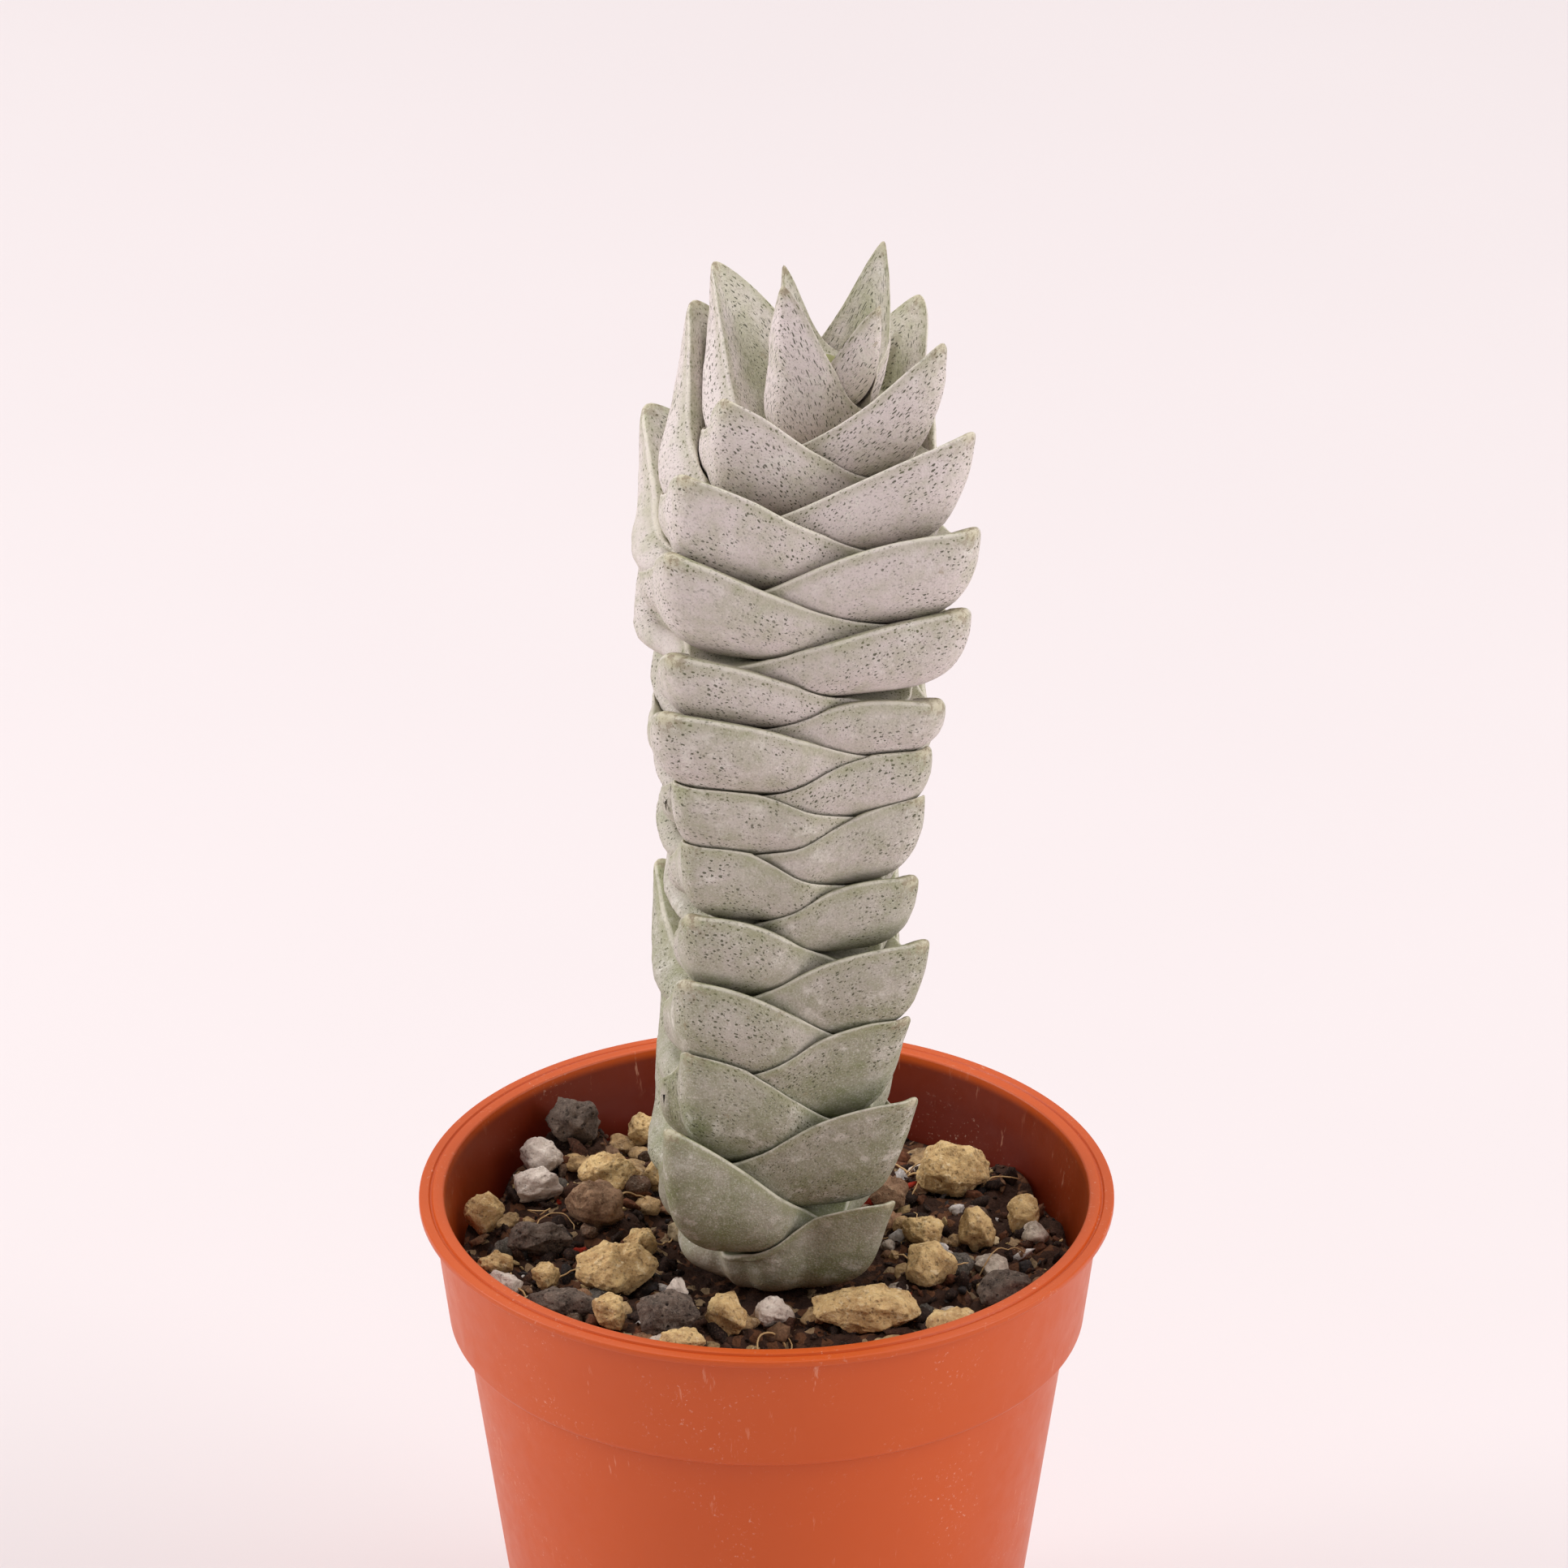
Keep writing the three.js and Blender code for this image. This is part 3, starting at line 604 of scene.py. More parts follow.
def leaf_material():
    n = Nodes("leaf_skin")
    from_edge = n.attribute("from_edge")
    from_tip = n.attribute("from_tip")
    youth = n.attribute("youth")
    tone = n.attribute("tone")
    belly = n.fall(from_edge, -0.25, 0.1)
    at_tip = n.fall(from_tip, 0.6, 4.5, 1, 0)

    # Green skin under a grey-lilac bloom, which is thinner on old leaves, on the face and near the tip
    patches = n.noise(3.4, 4, 0.6)
    blotches = n.noise(1.1, 4, 0.6)
    green = n.mix(youth, srgb(116, 122, 78), srgb(164, 168, 124))
    bloom = n.mix(youth, srgb(174, 167, 153), srgb(224, 210, 208))
    cover = n.math("MULTIPLY_ADD", youth, 0.42, 0.58)
    cover = n.math("MULTIPLY_ADD", n.math("SUBTRACT", patches, 0.5), 1.5, cover)
    cover = n.math("MULTIPLY_ADD", n.math("SUBTRACT", blotches, 0.5), 1.0, cover)
    cover = n.math("MULTIPLY_ADD", tone, 0.08, cover)
    cover = n.math("MULTIPLY_ADD", at_tip, -0.25, cover)
    lower = n.math("MULTIPLY", n.fall(from_edge, 2.5, 7), n.fall(youth, 0.1, 0.6, 0.3, 0))
    cover = n.math("SUBTRACT", cover, lower)
    cover = n.math("MULTIPLY", cover, n.fall(from_edge, -7, -0.5, 0.35, 0.85))
    cover = n.math("MULTIPLY_ADD", belly, 0.15, cover, clamp=True)
    colour = n.mix(cover, green, bloom)

    # Powdery patches, fine pale grains, then dark dots of two sizes
    powder = n.math("MULTIPLY", n.fall(n.noise(1.7, 6, 0.75), 0.52, 0.64), n.fall(n.noise(6, 2), 0.42, 0.6))
    colour = n.mix(n.math("MULTIPLY", powder, 0.5), colour, srgb(226, 221, 210))
    grains = n.fall(n.noise(0.16, 2, 0.6), 0.5, 0.68)
    colour = n.mix(n.math("MULTIPLY", grains, 0.3), colour, srgb(232, 226, 214))
    pores = n.fall(n.noise(0.2, 2, 0.5), 0.3, 0.44, 0.28, 0)
    colour = n.mix(pores, colour, srgb(112, 106, 84))
    skin = n.node("CombineXYZ", {0: n.attribute("around"), 1: from_edge}).outputs[0]
    wobble = n.node("TexNoise", {"Vector": n.place(), "Scale": 3, "Detail": 1}).outputs["Color"]
    skin = n.node("VectorMath", {0: wobble, 1: (0.25, 0.25, 0), 2: skin}, operation="MULTIPLY_ADD").outputs[0]
    crowd = n.fall(n.math("MULTIPLY_ADD", at_tip, 0.12, n.noise(4.5, 2)), 0.38, 0.58, 0.2, 1)
    crowd = n.math("MAXIMUM", crowd, n.fall(youth, 0.76, 0.9))
    large = n.dots(skin, 0.44, 0.05, 0.11, 0.25)
    small = n.dots(skin, 0.25, 0.02, 0.055, 0.4)
    large = n.math("MULTIPLY", large, n.math("MULTIPLY", crowd, n.fall(youth, 0.04, 0.1, 0.2, 0.92)))
    small = n.math("MULTIPLY", small, n.math("MULTIPLY", crowd, n.fall(youth, 0.04, 0.1, 0.2, 0.7)))
    speck = n.math("MAXIMUM", large, small)
    colour = n.mix(speck, colour, n.mix(youth, srgb(84, 84, 62), srgb(82, 82, 66)))

    # Pale edge line, green zone along it, cream and brown tips
    zone = n.math("MULTIPLY", n.fall(from_edge, -2.2, -0.4), n.fall(from_edge, -0.3, 0.0, 1, 0))
    below = n.math("MULTIPLY", n.fall(from_edge, 0.2, 0.45), n.fall(from_edge, 0.5, 1.5, 1, 0))
    zone = n.math("MAXIMUM", n.math("MULTIPLY", zone, 0.4), n.math("MULTIPLY", below, 0.3))
    colour = n.mix(zone, colour, srgb(150, 152, 104))
    line = n.math("MULTIPLY", n.fall(from_edge, -0.35, -0.1), n.fall(from_edge, 0.15, 0.4, 1, 0))
    line = n.math("MULTIPLY", line, n.fall(n.noise(1.5, 3), 0.3, 0.6, 0.2, 0.65))
    colour = n.mix(line, colour, srgb(221, 214, 196))
    cap = n.math("MULTIPLY", n.fall(from_tip, 0.5, 1.5, 1, 0), 0.65)
    colour = n.mix(cap, colour, srgb(204, 193, 166))
    burn = n.math("MULTIPLY", n.fall(from_tip, 0.3, 3, 1, 0), n.fall(n.noise(0.6, 4, 0.7), 0.46, 0.6))
    colour = n.mix(n.math("MULTIPLY", burn, 0.65), colour, srgb(128, 108, 84))

    # Old scars, and dirt near the soil
    scar = n.math("MULTIPLY", n.fall(n.noise(1.3, 4, 0.6), 0.64, 0.72), n.fall(n.noise(7, 2), 0.52, 0.62))
    colour = n.mix(n.math("MULTIPLY", scar, 0.5), colour, srgb(146, 128, 98))
    height = n.height()
    stain = n.math("MULTIPLY", n.fall(height, 43.5, 48, 1, 0), n.fall(n.noise(1.4, 4), 0.35, 0.6, 0.2, 0.6))
    colour = n.mix(stain, colour, srgb(146, 108, 76))

    papillae = n.cells(0.2, feature="SMOOTH_F1")
    relief = n.math("MULTIPLY_ADD", papillae, -0.7, n.noise(0.14, 2))
    relief = n.math("MULTIPLY_ADD", speck, -0.5, relief)
    normal = n.bump(0.7, 0.05, relief)
    normal = n.bump(0.6, 0.25, n.noise(1.5, 4, 0.6), normal)
    return n.finish(colour, n.fall(grains, 0, 1, 0.66, 0.82), normal, specular=0.3)


def pot_material():
    n = Nodes("pot_plastic")
    colour = n.mix(n.noise(14, 3), srgb(192, 74, 10), srgb(200, 83, 16))

    # Painted shade on the inner wall, strongest low down and most at the back
    flat = n.node("VectorMath", {0: n.place(), 1: (1, 1, 0)}, operation="MULTIPLY").outputs[0]
    radius = n.node("VectorMath", {0: flat}, operation="LENGTH").outputs["Value"]
    inner_radius = n.math("MULTIPLY_ADD", n.height(), 0.13, 19.25)
    inside = n.fall(n.math("SUBTRACT", radius, inner_radius), -0.3, 0.1, 1, 0)
    inside = n.math("MULTIPLY", inside, n.fall(n.height(), 49, 49.8, 1, 0))
    inside = n.math("MULTIPLY", inside, n.fall(n.height(), 40.8, 41.4))
    depth = n.node("SeparateXYZ", {0: n.place()}).outputs["Y"]
    # Painted shade on the inner wall: stronger low down and towards the back
    inner_wall_shade = n.math("MULTIPLY", n.fall(n.height(), 43, 49, 0.95, 0.8), n.fall(depth, -4, 18, 0.35, 1.25))
    colour = n.mix(n.math("MULTIPLY", inside, inner_wall_shade), colour, srgb(104, 28, 8))

    # Dust and upright scuffs
    dust = n.math("MULTIPLY", n.fall(n.noise(0.35, 3, 0.7), 0.6, 0.72), n.fall(n.noise(7, 3), 0.45, 0.7))
    colour = n.mix(n.math("MULTIPLY", dust, 0.5), colour, srgb(228, 190, 168))
    place = n.node("VectorMath", {0: n.place(), 1: (1, 1, 0.12)}, operation="MULTIPLY").outputs[0]
    scuffs = n.fall(n.noise(0.8, 4, 0.7, place), 0.62, 0.68)
    scuffs = n.math("MULTIPLY", scuffs, n.fall(n.noise(5, 2), 0.5, 0.7))
    colour = n.mix(n.math("MULTIPLY", scuffs, 0.35), colour, srgb(230, 170, 140))
    roughness = n.math("MULTIPLY_ADD", n.noise(1.5, 3), 0.22, 0.3)
    normal = n.bump(0.25, 0.05, n.noise(0.9, 4))
    normal = n.bump(0.15, 0.3, n.noise(9, 2), normal)
    return n.finish(colour, roughness, normal, specular=0.42)


def soil_material():
    n = Nodes("soil")
    colour = n.mix(n.noise(1.2, 4), srgb(34, 23, 20), srgb(84, 57, 44))
    grit = n.node("TexVoronoi", {"Vector": n.place(), "Scale": 1 / 0.7})
    shade = n.node("SeparateColor", {0: grit.outputs["Color"]})
    colour = n.mix(n.fall(shade.outputs["Red"], 0.75, 0.8, 0, 0.5), colour, srgb(128, 84, 56))
    colour = n.mix(n.fall(shade.outputs["Green"], 0.93, 0.95, 0, 0.7), colour, srgb(178, 150, 116))
    relief = n.math("MULTIPLY_ADD", grit.outputs["Distance"], -0.6, n.noise(0.3, 3))
    return n.finish(colour, 0.95, n.bump(0.9, 0.3, relief), specular=0.2)


def crumb_material():
    n = Nodes("soil_crumb")
    shade = n.attribute("shade", "Color")
    colour = n.mix(n.fall(n.noise(0.3, 4), 0.3, 0.7, 0, 0.5), shade, srgb(40, 28, 24), "MULTIPLY")
    colour = n.mix(n.fall(n.noise(0.12, 2), 0.55, 0.7, 0, 0.12), colour, srgb(190, 160, 130))
    return n.finish(colour, 0.9, n.bump(0.8, 0.12, n.noise(0.2, 4)), specular=0.25)


# Kind of stone: dark, light, hole and crust colours, porosity; the hole colour is painted shade in pits and
# cracks
STONE_LOOKS = {
    "pumice": ((172, 130, 78), (224, 188, 130), (92, 60, 36), (240, 218, 178), 0.6),
    "lava": ((56, 45, 41), (110, 94, 84), (16, 11, 11), (150, 132, 118), 1),
    "pale": ((180, 158, 146), (226, 208, 194), (112, 90, 78), (246, 236, 224), 0.25),
    "brown": ((98, 68, 50), (150, 116, 90), (42, 28, 22), (182, 152, 122), 0.4),
}


def rock_colour(n, dark, light, pore_shade, crust, porosity, shift=(0, 0, 0)):
    """Weathered, porous rock: its colour, with painted shade in its pits and cracks, and the height of its
    fine relief.
    """
    place = n.node("VectorMath", {0: n.place(), 1: shift}, operation="ADD").outputs[0]
    colour = n.mix(n.fall(n.noise(1.6, 5, 0.65, place), 0.32, 0.66), dark, light)
    colour = n.mix(n.fall(n.noise(0.5, 4, 0.6, place), 0.55, 0.72, 0, 0.7), colour, crust)
    grain = n.noise(0.14, 3, 0.7, place)
    porous = n.fall(n.noise(0.9, 3, place=place), 0.38, 0.54, 0, porosity)
    pits = n.math("MULTIPLY", n.fall(n.cells(0.55, place), 0.1, 0.3, 1, 0), porous)
    cracks = n.fall(n.noise(0.3, 4, 0.7, place), 0.3, 0.42, 0.6, 0)
    hollows = n.math("MAXIMUM", pits, cracks)
    # Painted shade in the pits and cracks
    colour = n.mix(n.math("MULTIPLY", hollows, 0.85), colour, pore_shade)
    colour = n.mix(n.fall(grain, 0.3, 0.7, 0, 0.3), colour, crust)
    rough = n.math("MULTIPLY_ADD", grain, 0.5, n.noise(0.5, 4, 0.6, place))
    return colour, n.math("MULTIPLY_ADD", hollows, -0.8, rough)


def stone_material(kind):
    *colours, porosity = STONE_LOOKS[kind]
    n = Nodes("stone_" + kind)
    dark, light, pore_shade, crust = [srgb(*c) for c in colours]
    colour, relief = rock_colour(n, dark, light, pore_shade, crust, porosity)
    # Painted shade in the pores of the mesh
    colour = n.mix(n.math("MULTIPLY", n.attribute("pit"), 0.7), colour, pore_shade)
    # Soil dust low on the stone
    dust = n.math("MULTIPLY", n.fall(n.height(), 42.8, 45, 1, 0), n.fall(n.noise(1, 4), 0.35, 0.6, 0.2, 0.8))
    colour = n.mix(dust, colour, srgb(84, 60, 46))
    return n.finish(colour, 0.93, n.bump(0.9, 0.2, relief), specular=0.2)


def gravel_material():
    n = Nodes("gravel")
    shade = n.attribute("shade", "Color")
    deep = n.mix(1, shade, srgb(150, 140, 132), "MULTIPLY")
    # Darker copy of the grain's colour: painted shade in its pits and cracks
    pore_shade = n.mix(1, shade, srgb(90, 76, 66), "MULTIPLY")
    pale = n.mix(0.35, shade, srgb(240, 228, 205))
    colour, relief = rock_colour(n, deep, shade, pore_shade, pale, 0.5, (13.7, 5.1, 0))
    return n.finish(colour, 0.93, n.bump(0.9, 0.15, relief), specular=0.2)


def stem_material():
    n = Nodes("stem")
    colour = n.mix(n.noise(0.8, 3), srgb(118, 118, 78), srgb(160, 156, 112))
    return n.finish(colour, 0.8, n.bump(0.4, 0.1, n.noise(0.4, 3)), specular=0.3)


def rootlet_material():
    n = Nodes("rootlet")
    colour = n.mix(n.noise(0.8, 3), srgb(178, 128, 78), srgb(226, 196, 146))
    return n.finish(colour, 0.8, n.bump(0.4, 0.05, n.noise(0.2, 2)), specular=0.3)


def floor_material():
    n = Nodes("floor")
    colour = n.mix(n.noise(60, 2), srgb(222, 212, 213), srgb(225, 215, 216))
    return n.finish(colour, 0.85, n.bump(0.05, 0.2, n.noise(3, 3)), specular=0.2)


# Pot, soil, stones


def arc(centre, radius, start, end, steps=5):
    """Corner of a profile: points round centre, angles in degrees."""
    turns = np.radians(np.linspace(start, end, steps))
    return [(centre[0] + radius * math.cos(t), centre[1] + radius * math.sin(t)) for t in turns]


def build_pot():
    step_foot = BAND_FOOT_HEIGHT - STEP_DROP
    lip_foot = POT_HEIGHT - LIP_THICKNESS
    inner_lip = RIM_RADIUS - LIP_WIDTH
    outer_lip = RIM_RADIUS - LIP_EDGE
    profile = [(0, 0), (FOOT_RADIUS - 6, 0), (FOOT_RADIUS - 1, 0)]
    profile += arc((FOOT_RADIUS - FOOT_ROUND, FOOT_ROUND), FOOT_ROUND, -90, -5)
    profile += [(BODY_TOP_RADIUS, step_foot)]
    profile += arc((BAND_FOOT_RADIUS - STEP_ROUND, BAND_FOOT_HEIGHT - 0.15), STEP_ROUND, -60, 0)
    profile += [(BAND_TOP_RADIUS - 0.1, lip_foot - 0.6), (BAND_TOP_RADIUS, lip_foot - 0.15)]
    profile += arc((outer_lip, lip_foot + LIP_EDGE), LIP_EDGE, -90, -10, 3)
    profile += arc((outer_lip, POT_HEIGHT - LIP_SLOPE - LIP_EDGE), LIP_EDGE, 10, 90, 4)
    profile += [(RIM_RADIUS - GROOVE_PLACE + out, POT_HEIGHT + up) for out, up in GROOVE]
    profile += arc((inner_lip + INNER_LIP_ROUND, POT_HEIGHT - INNER_LIP_ROUND), INNER_LIP_ROUND, 90, 180, 4)
    profile += [
        (BAND_FOOT_RADIUS - WALL + 0.1, BAND_FOOT_HEIGHT + 1),
        (BAND_FOOT_RADIUS - WALL - 0.1, BAND_FOOT_HEIGHT + 0.2),
        (BODY_TOP_RADIUS - WALL, step_foot - 0.2),
        (FOOT_RADIUS - WALL + 0.1, WALL + 0.8),
    ]
    profile += arc((FOOT_RADIUS - WALL - FOOT_ROUND, WALL + FOOT_ROUND), FOOT_ROUND, 0, -90)
    profile += [(0, WALL)]
    points, faces = lathe(profile, POT_SIDES)
    pot = add_object("nursery_pot", points, faces)
    reach, radius = DRILL_REACH, DRAIN_RADIUS
    drill_profile = [(0, -reach), (radius, -reach), (radius, reach), (0, reach)]
    drill_points, drill_faces = lathe(drill_profile, DRILL_SIDES)
    for i in range(DRAIN_HOLES):
        turn = 2 * math.pi * i / DRAIN_HOLES
        place = np.array([DRAIN_CIRCLE * math.cos(turn), DRAIN_CIRCLE * math.sin(turn), 0])
        cutter = add_object("drill", drill_points + place, drill_faces)
        cut = pot.modifiers.new("drain", "BOOLEAN")
        cut.operation = "DIFFERENCE"
        cut.solver = "EXACT"
        cut.object = cutter
        bake(pot)
        bpy.data.objects.remove(cutter)
    pot.data.set_sharp_from_angle(angle=math.radians(40))
    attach(pot, "root")
    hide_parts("pot")
    return pot


def build_stem():
    """The stem is hidden between the leaves, and ends in a blunt bud."""
    foot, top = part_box("stem")[0][2] / MM, STEM_BUD_HEIGHT
    profile = [(0, foot), (0.5, foot + 0.5)]
    profile += [(STEM_RADIUS, height) for height in np.linspace(NODE_HEIGHTS[0][1] - 4, top - 2.5, 24)]
    profile += [(radius, top + down) for radius, down in STEM_BUD]
    points, faces = lathe(profile, 32)
    points[:, 0] += axis_x(points[:, 2])
    stem = add_object("plant_stem", points, faces)
    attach(stem, "root")
    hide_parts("stem")
    return stem


def bake(obj):
    """Turns the object's modifiers into its mesh."""
    graph = bpy.context.evaluated_depsgraph_get()
    mesh = bpy.data.meshes.new_from_object(obj.evaluated_get(graph))
    obj.modifiers.clear()
    obj.data = mesh


STONE_NAMES = sorted(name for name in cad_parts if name.startswith("stone_"))


def box_of(name):
    """Middle and size of a node's box in millimetres."""
    low, high = (np.array(corner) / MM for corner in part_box(name))
    return (low + high) / 2, high - low


def soil_heights():
    """Height of the soil over a point, as the solids have it."""
    draw = seeded_random(SOIL_SEED)
    smallest, largest = SOIL_GRAIN_RADIUS
    grains = []
    for _ in range(SOIL_GRAINS):
        turn = 2 * math.pi * draw()
        distance = SOIL_SPREAD * math.sqrt(draw())
        radius = smallest + (largest - smallest) * draw() ** 2
        grains.append((distance * math.cos(turn), distance * math.sin(turn), radius))
    grains = np.array(grains)
    seats = [box_of(name) for name in STONE_NAMES]

    def height_at(x, y):
        far = np.hypot(x - grains[:, 0], y - grains[:, 1]) / grains[:, 2]
        bulge = SOIL_GRAIN_RISE * grains[:, 2] * np.sqrt(np.clip(1 - far**2, 0, None))
        rise = max(0.4 * math.sin(0.35 * x + 1) * math.cos(0.3 * y), float(bulge.max()))
        outside = max(0.0, math.hypot(x - STEM_FOOT_X, y) - FOOT_HOLLOW_RADIUS)
        height = SOIL_LEVEL + min(rise, FOOT_HOLLOW_SLOPE * outside - FOOT_HOLLOW_DEPTH)
        for centre, size in seats:
            away = math.hypot((x - centre[0]) / size[0], (y - centre[1]) / size[1]) * 2
            if away < STONE_SEAT:
                dip = max(0.5 * math.sqrt(max(0.0, 1 - away * away)), 0.25)
                held = min(1.0, (STONE_SEAT - away) / (STONE_SEAT - 1))
                height += (centre[2] - size[2] * dip - STONE_CLEARANCE - height) * held
        return height

    return height_at


def build_soil(height_at):
    step_foot = BAND_FOOT_HEIGHT - STEP_DROP
    inside = WALL + SOIL_CLEARANCE
    share = (SOIL_LEVEL - BAND_FOOT_HEIGHT) / (POT_HEIGHT - BAND_FOOT_HEIGHT)
    wall_radius = BAND_FOOT_RADIUS + (BAND_TOP_RADIUS - BAND_FOOT_RADIUS) * share
    top_radius = wall_radius - inside - 0.2
    turns = np.linspace(0, 2 * np.pi, SOIL_SIDES, endpoint=False)
    ring = np.column_stack([np.cos(turns), np.sin(turns)])

    def level(radius, height):
        return np.column_stack([ring * radius, np.full(SOIL_SIDES, height)])

    rings = [
        level(FOOT_RADIUS - inside - 0.5, inside),
        level(FOOT_RADIUS - inside + 0.05, inside + 0.7),
        level(BODY_TOP_RADIUS - inside - 0.1, step_foot - 0.4),
        level(BAND_FOOT_RADIUS - inside - 0.15, BAND_FOOT_HEIGHT + 1.2),
    ]
    for i in range(SOIL_RINGS):
        flat = ring * top_radius * (1 - i / SOIL_RINGS)
        heights = []
        edge = min(1.0, i / 3)
        for x, y in flat:
            rough = sum(noise.noise(Vector((x, y, z)) * often) * high for high, often, z in SOIL_ROUGHNESS)
            heights.append(height_at(x, y) + rough * edge)
        rings.append(np.column_stack([flat, heights]))
    points = np.vstack(rings + [[(0, 0, inside)], [(0, 0, height_at(0, 0))]])
    faces = ring_faces(len(rings), SOIL_SIDES, closed=False)
    first, last = len(points) - 2, len(points) - 1
    top = (len(rings) - 1) * SOIL_SIDES
    for i in range(SOIL_SIDES):
        j = (i + 1) % SOIL_SIDES
        faces.append((first, j, i))
        faces.append((last, top + i, top + j))
    soil = add_object("potting_mix", points, faces)
    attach(soil, "root")
    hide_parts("soil")
    return soil


# Kinds of crumbs and of small stones: how common, and their colour
CRUMB_SHADES = (
    (0.44, (52, 35, 29)), (0.18, (82, 52, 39)), (0.14, (112, 68, 46)), (0.08, (150, 112, 84)),
    (0.05, (60, 54, 54)), (0.05, (206, 174, 124)), (0.04, (216, 206, 200)), (0.02, (176, 48, 26)),
)
GRAVEL_SHADES = (
    (0.4, (206, 168, 118)), (0.1, (226, 200, 158)), (0.1, (88, 80, 76)), (0.14, (222, 204, 188)),
    (0.16, (112, 78, 58)), (0.1, (150, 104, 70)),
)


def ball(subdivisions):
    """Points and faces of a ball with radius 1."""
    body = bmesh.new()
    bmesh.ops.create_icosphere(body, subdivisions=subdivisions, radius=1)
    points = np.array([v.co[:] for v in body.verts])
    faces = np.array([[v.index for v in f.verts] for f in body.faces])
    body.free()
    return points, faces


def random_spot(reach):
    """A place on the soil, and how far it is from the pot's axis."""
    turn = random_state.uniform(0, 2 * np.pi)
    distance = reach * math.sqrt(random_state.uniform(0, 1))
    return distance * math.cos(turn), distance * math.sin(turn), distance


def random_shade(shades):
    chances = np.array([chance for chance, _ in shades])
    return shades[random_state.choice(len(chances), p=chances / sum(chances))][1]


def add_grains(name, grains, shape_faces, shades):
    """One object made of many grains with the same faces, each with its own colour."""
    count = len(grains[0])
    faces = np.vstack([shape_faces + k * count for k in range(len(grains))])
    obj = add_object(name, np.vstack(grains), faces.tolist())
    add_attribute(obj, "shade", np.repeat(shades, count, axis=0))
    return obj


def build_crumbs(height_at):
    """Peat and bark crumbs and small mineral grains, strewn over the soil."""
    shape, shape_faces = ball(2)
    grains, shades = [], []
    while len(grains) < CRUMBS:
        x, y, distance = random_spot(SOIL_SPREAD)
        size = 0.2 + 0.9 * random_state.uniform(0, 1) ** 3
        if math.hypot(x - STEM_FOOT_X, y) < CRUMB_FREE_RADIUS + size or distance > CRUMB_REACH - size:
            continue
        shade = srgb(*random_shade(CRUMB_SHADES))[:3]
        flatness = random_state.uniform(0.25, 0.8, 3)
        flatness[0] = 1
        turning = Matrix.Rotation(random_state.uniform(0, 6.28), 3, Vector(random_state.normal(0, 1, 3)))
        offset = Vector(random_state.uniform(-50, 50, 3))
        bumpy = np.array([1 + 0.8 * noise.noise(Vector(v) * 1.6 + offset) for v in shape.tolist()])
        grain = (shape * bumpy[:, None] * flatness) @ np.array(turning).T * size
        grains.append(grain + (x, y, height_at(x, y) + 0.25 * size))
        shades.append(np.array(shade) * random_state.uniform(0.75, 1.25))
    crumbs = add_grains("soil_crumbs", grains, shape_faces, shades)
    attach(crumbs, "root")
    return crumbs


def build_gravel(height_at):
    """Smaller stones between the large ones: balls with chipped sides and a rough skin."""
    shape, shape_faces = ball(4)
    taken = [(*middle[:2], max(size[:2]) / 2) for middle, size in map(box_of, STONE_NAMES)]
    grains, shades = [], []
    for _ in range(GRAVEL_TRIES):
        if len(grains) == GRAVEL:
            break
        x, y, distance = random_spot(GRAVEL_REACH)
        size = random_state.uniform(*GRAVEL_SIZES)
        if math.hypot(x - STEM_FOOT_X, y) < GRAVEL_FREE_RADIUS + size or distance > GRAVEL_REACH - size:
            continue
        if any(math.hypot(x - a, y - b) < GRAVEL_OVERLAP * (size + r) for a, b, r in taken):
            continue
        taken.append((x, y, size))
        shade = random_shade(GRAVEL_SHADES)
        normals = random_state.normal(0, 1, (GRAVEL_FLATS, 3))
        normals /= np.linalg.norm(normals, axis=1)[:, None]
        flats = random_state.uniform(0.72, 1, GRAVEL_FLATS)
        past = np.max(np.clip(shape @ normals.T, 0, None) / flats, axis=1)
        offset = Vector(random_state.uniform(-50, 50, 3))
        narrowest = 0.4 if shade[0] < DARK_SHADE else 0.65
        stretch = np.array([1, random_state.uniform(narrowest, 0.9), random_state.uniform(0.4, 0.8)])
        grain = shape / np.maximum(past, 1)[:, None] * size * stretch
        grain = grain @ np.array(Matrix.Rotation(random_state.uniform(0, 6.28), 3, "Z")).T
        moves, _ = rough_moves(grain * 1.6, offset, 0)
        grain += grain / np.linalg.norm(grain, axis=1)[:, None] * moves[:, None] * 0.6
        grains.append(grain + (x, y, height_at(x, y) + 0.35 * size * stretch[2]))
        shades.append(np.array(srgb(*shade)[:3]) * random_state.uniform(0.8, 1.1))
    gravel = add_grains("gravel", grains, shape_faces, shades)
    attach(gravel, "root")
    return gravel


def build_rootlets(height_at):
    """Fine dry roots that curl over the soil."""
    points, faces = [], []
    for _ in range(ROOTLETS):
        turn = random_state.uniform(0, 2 * np.pi)
        distance = random_state.uniform(*ROOTLET_STARTS)
        place = np.array([distance * math.cos(turn), distance * math.sin(turn)])
        heading = random_state.uniform(0, 2 * np.pi)
        bend = random_state.normal(0, 0.25)
        radius = random_state.uniform(0.06, 0.12)
        path = []
        steps = int(random_state.uniform(12, 34))
        lift = random_state.uniform(0.4, 1.6)
        for k in range(steps):
            arch = lift * math.sin(math.pi * k / (steps - 1))
            path.append((*place, height_at(*place) + 0.15 + arch))
            heading += bend + random_state.normal(0, 0.18)
            place = place + ROOTLET_STEP * np.array([math.cos(heading), math.sin(heading)])
            too_near = math.hypot(place[0] - STEM_FOOT_X, place[1]) < ROOTLET_FREE_RADIUS
            if math.hypot(*place) > ROOTLET_REACH or too_near:
                break
        if len(path) >= ROOTLET_LEAST:
            add_tube(points, faces, np.array(path), radius, ROOTLET_SIDES)
    roots = add_object("rootlets", np.array(points), faces)
    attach(roots, "root")
    return roots


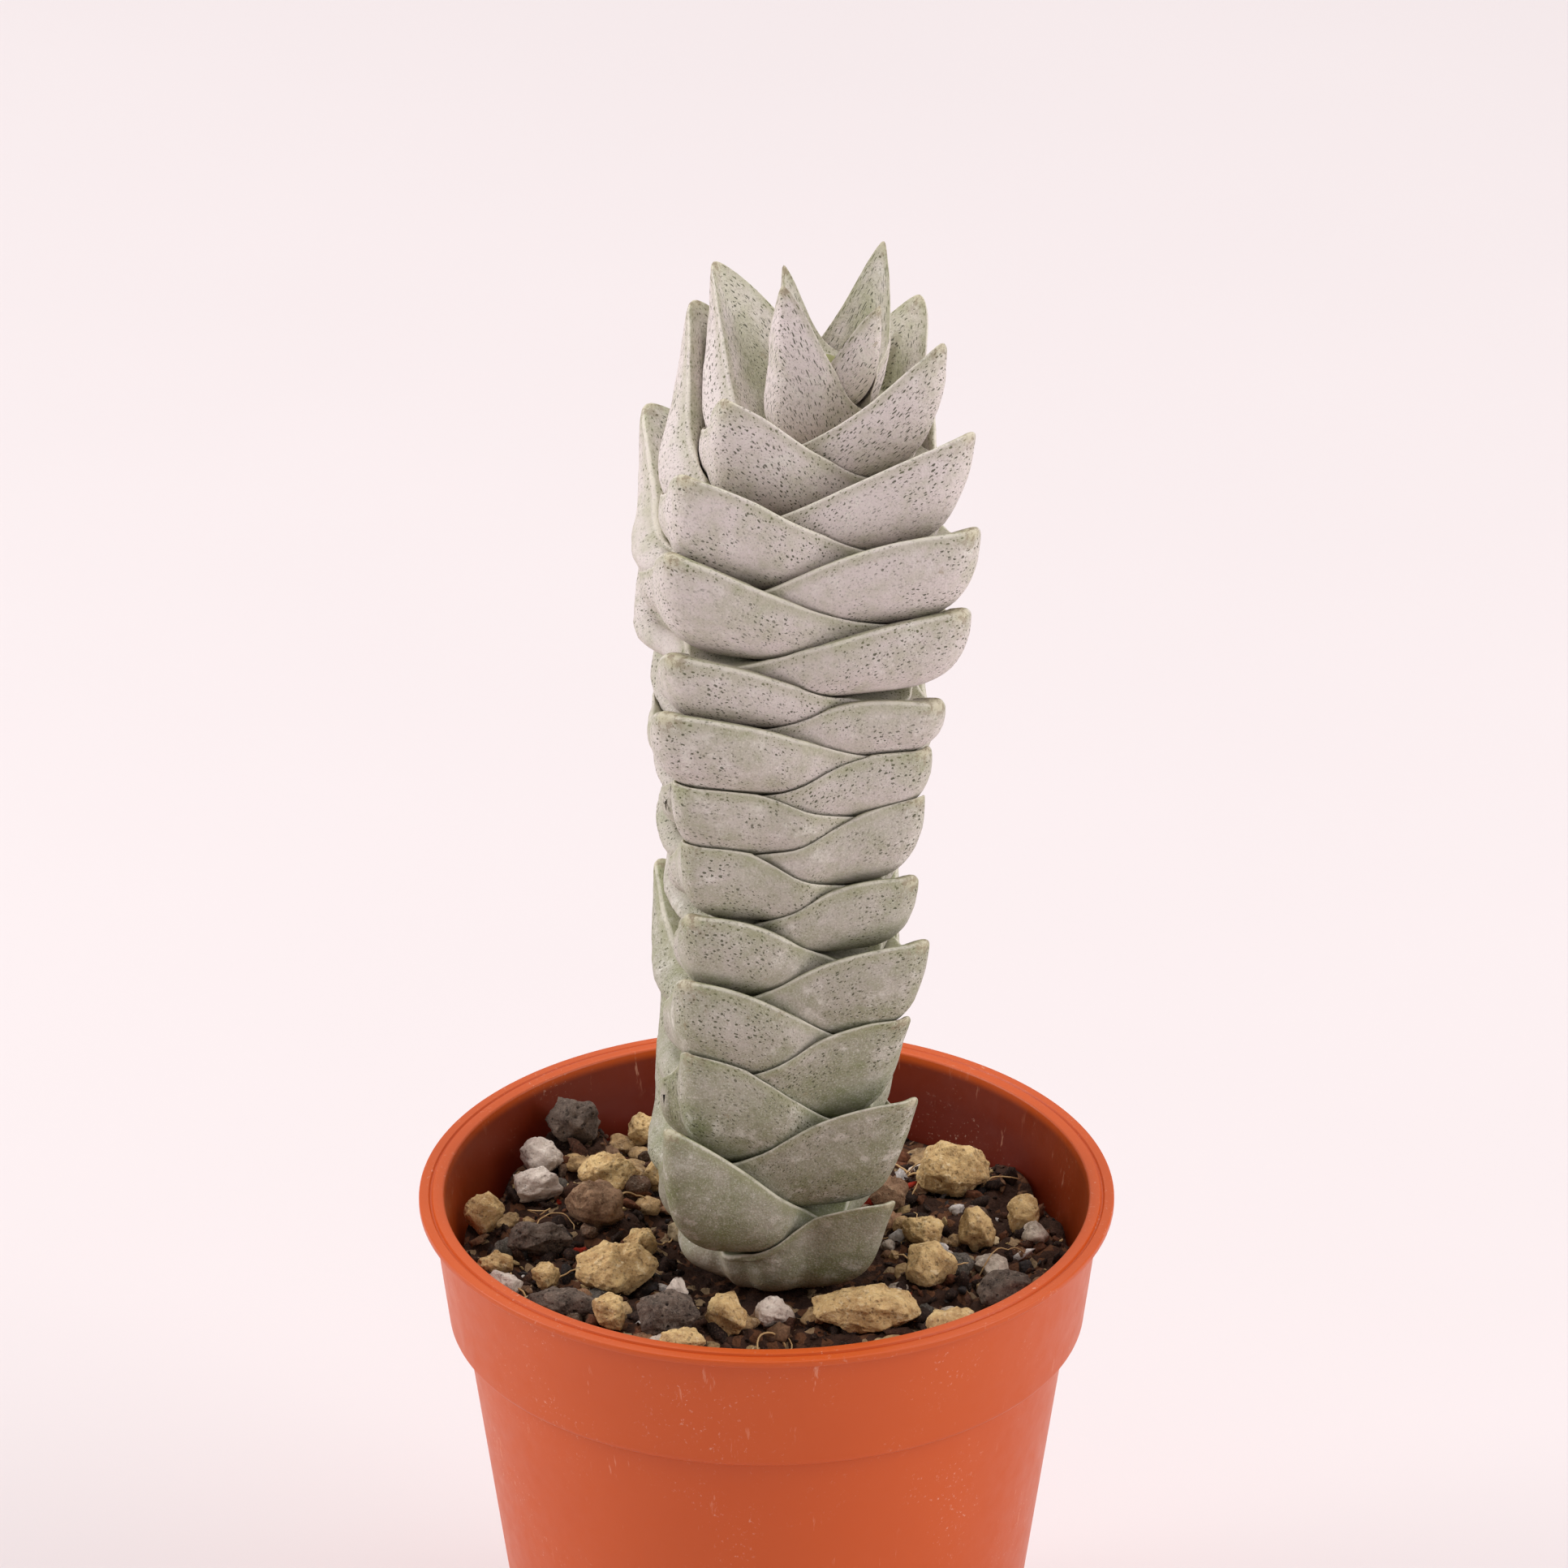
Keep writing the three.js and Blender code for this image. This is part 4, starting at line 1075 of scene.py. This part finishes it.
def add_tube(points, faces, path, radius, sides):
    """Adds a thin closed tube along a path to lists of points and faces."""
    first = len(points)
    for k, centre in enumerate(path):
        ahead = path[min(k + 1, len(path) - 1)] - path[max(k - 1, 0)]
        ahead /= np.linalg.norm(ahead)
        side = np.cross(ahead, (0.1, 0.2, 1))
        side /= np.linalg.norm(side)
        up = np.cross(side, ahead)
        taper = radius * (1 - 0.5 * k / len(path))
        for i in range(sides):
            turn = 2 * math.pi * i / sides
            points.append(centre + taper * (math.cos(turn) * side + math.sin(turn) * up))
    for k in range(len(path) - 1):
        for i in range(sides):
            j = (i + 1) % sides
            low, high = first + k * sides, first + (k + 1) * sides
            faces.append((low + i, low + j, high + j, high + i))
    faces.append([first + i for i in reversed(range(sides))])
    faces.append([first + (len(path) - 1) * sides + i for i in range(sides)])


def build_stone(name):
    """A rough, porous stone with the outline of its solid."""
    kind = name.split("_")[1]
    centre, size = box_of(name)
    body = bmesh.new()
    body.from_mesh(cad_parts[name].data)
    bmesh.ops.remove_doubles(body, verts=body.verts, dist=1e-6)
    mesh = bpy.data.meshes.new("rough_" + name)
    body.to_mesh(mesh)
    body.free()
    stone = bpy.data.objects.new("rough_" + name, mesh)
    scene.collection.objects.link(stone)
    large = max(size) > LARGE_STONE
    splitter = stone.modifiers.new("splitter", "SUBSURF")
    splitter.subdivision_type = "SIMPLE"
    splitter.levels = 4 if large else 3
    softener = stone.modifiers.new("softener", "SMOOTH")
    softener.iterations = 5 if large else 2
    bake(stone)
    mesh = stone.data
    points = np.array([v.co[:] for v in mesh.vertices]) / MM
    points = (points - (points.min(0) + points.max(0)) / 2) * size / np.ptp(points, axis=0)
    outward = points / np.linalg.norm(points, axis=1)[:, None]
    moves, pits = rough_moves(points, Vector(centre), STONE_LOOKS[kind][-1])
    points = points + outward * moves[:, None] + centre
    mesh.vertices.foreach_set("co", (points * MM).ravel())
    mesh.update()
    mesh.polygons.foreach_set("use_smooth", [True] * len(mesh.polygons))
    add_attribute(stone, "pit", pits)
    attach(stone, "root")
    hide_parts(name)
    return stone


def rough_moves(points, offset, porosity):
    """How far each point of a stone moves in or out, and how deep in a pore it is."""
    moves, pits = [], []
    for p in points.tolist():
        at = Vector(p) + offset
        ridge = 0.5 - abs(noise.noise(at * 0.7 + Vector((9, 0, 0))))
        lumps = 0.4 * ridge + 0.35 * noise.noise(at * 0.6)
        lumps += 0.1 * noise.noise(at * 2.2) + 0.07 * noise.noise(at * 5)
        near = noise.voronoi(at * 1.3)[0][0]
        pit = max(0.0, 1 - near / 0.3) * porosity * (noise.noise(at * 0.8 + Vector((0, 7, 0))) > -0.05)
        moves.append(lumps - 0.25 - 0.4 * pit)
        pits.append(min(1.0, 1.6 * pit))
    return np.array(moves), np.array(pits)


# Stage


def add_light(name, place, size, power):
    lamp = bpy.data.lights.new(name, "AREA")
    lamp.shape = "SQUARE"
    lamp.size = size
    lamp.energy = power
    light = bpy.data.objects.new(name, lamp)
    light.location = place
    light.rotation_euler = (Vector(LIGHT_TARGET) - Vector(place)).to_track_quat("-Z", "Y").to_euler()
    scene.collection.objects.link(light)


def build_stage():
    corners = [(x * FLOOR_REACH, y * FLOOR_REACH, 0) for x, y in ((-1, -1), (1, -1), (1, 1), (-1, 1))]
    floor = add_object("floor", corners, [(0, 1, 2, 3)])
    floor.data.materials.append(floor_material())

    world = bpy.data.worlds.new("studio")
    world.use_nodes = True
    sky = world.node_tree.nodes["Background"].inputs
    sky["Color"].default_value = WORLD_COLOUR
    sky["Strength"].default_value = WORLD_STRENGTH
    scene.world = world
    for light in LIGHTS:
        add_light(*light)

    lens = bpy.data.cameras.new("camera")
    lens.lens = CAMERA_LENS
    lens.sensor_width = 36
    lens.clip_end = 20
    camera = bpy.data.objects.new("camera", lens)
    camera.location = [c * MM for c in CAMERA_PLACE]
    camera.rotation_euler = (math.radians(90 - CAMERA_PITCH), 0, 0)
    scene.collection.objects.link(camera)
    scene.camera = camera
    scene.view_settings.view_transform = "Standard"


def dress(objects, material):
    for obj in objects:
        obj.data.materials.clear()
        obj.data.materials.append(material)


build_stage()
dress(build_leaves(), leaf_material())
dress([build_pot()], pot_material())
height_at = soil_heights()
dress([build_soil(height_at)], soil_material())
dress([build_gravel(height_at)], gravel_material())
dress([build_crumbs(height_at)], crumb_material())
dress([build_rootlets(height_at)], rootlet_material())
dress([build_stem()], stem_material())
for stone_kind in STONE_LOOKS:
    rocks = [build_stone(name) for name in STONE_NAMES if name.split("_")[1] == stone_kind]
    dress(rocks, stone_material(stone_kind))
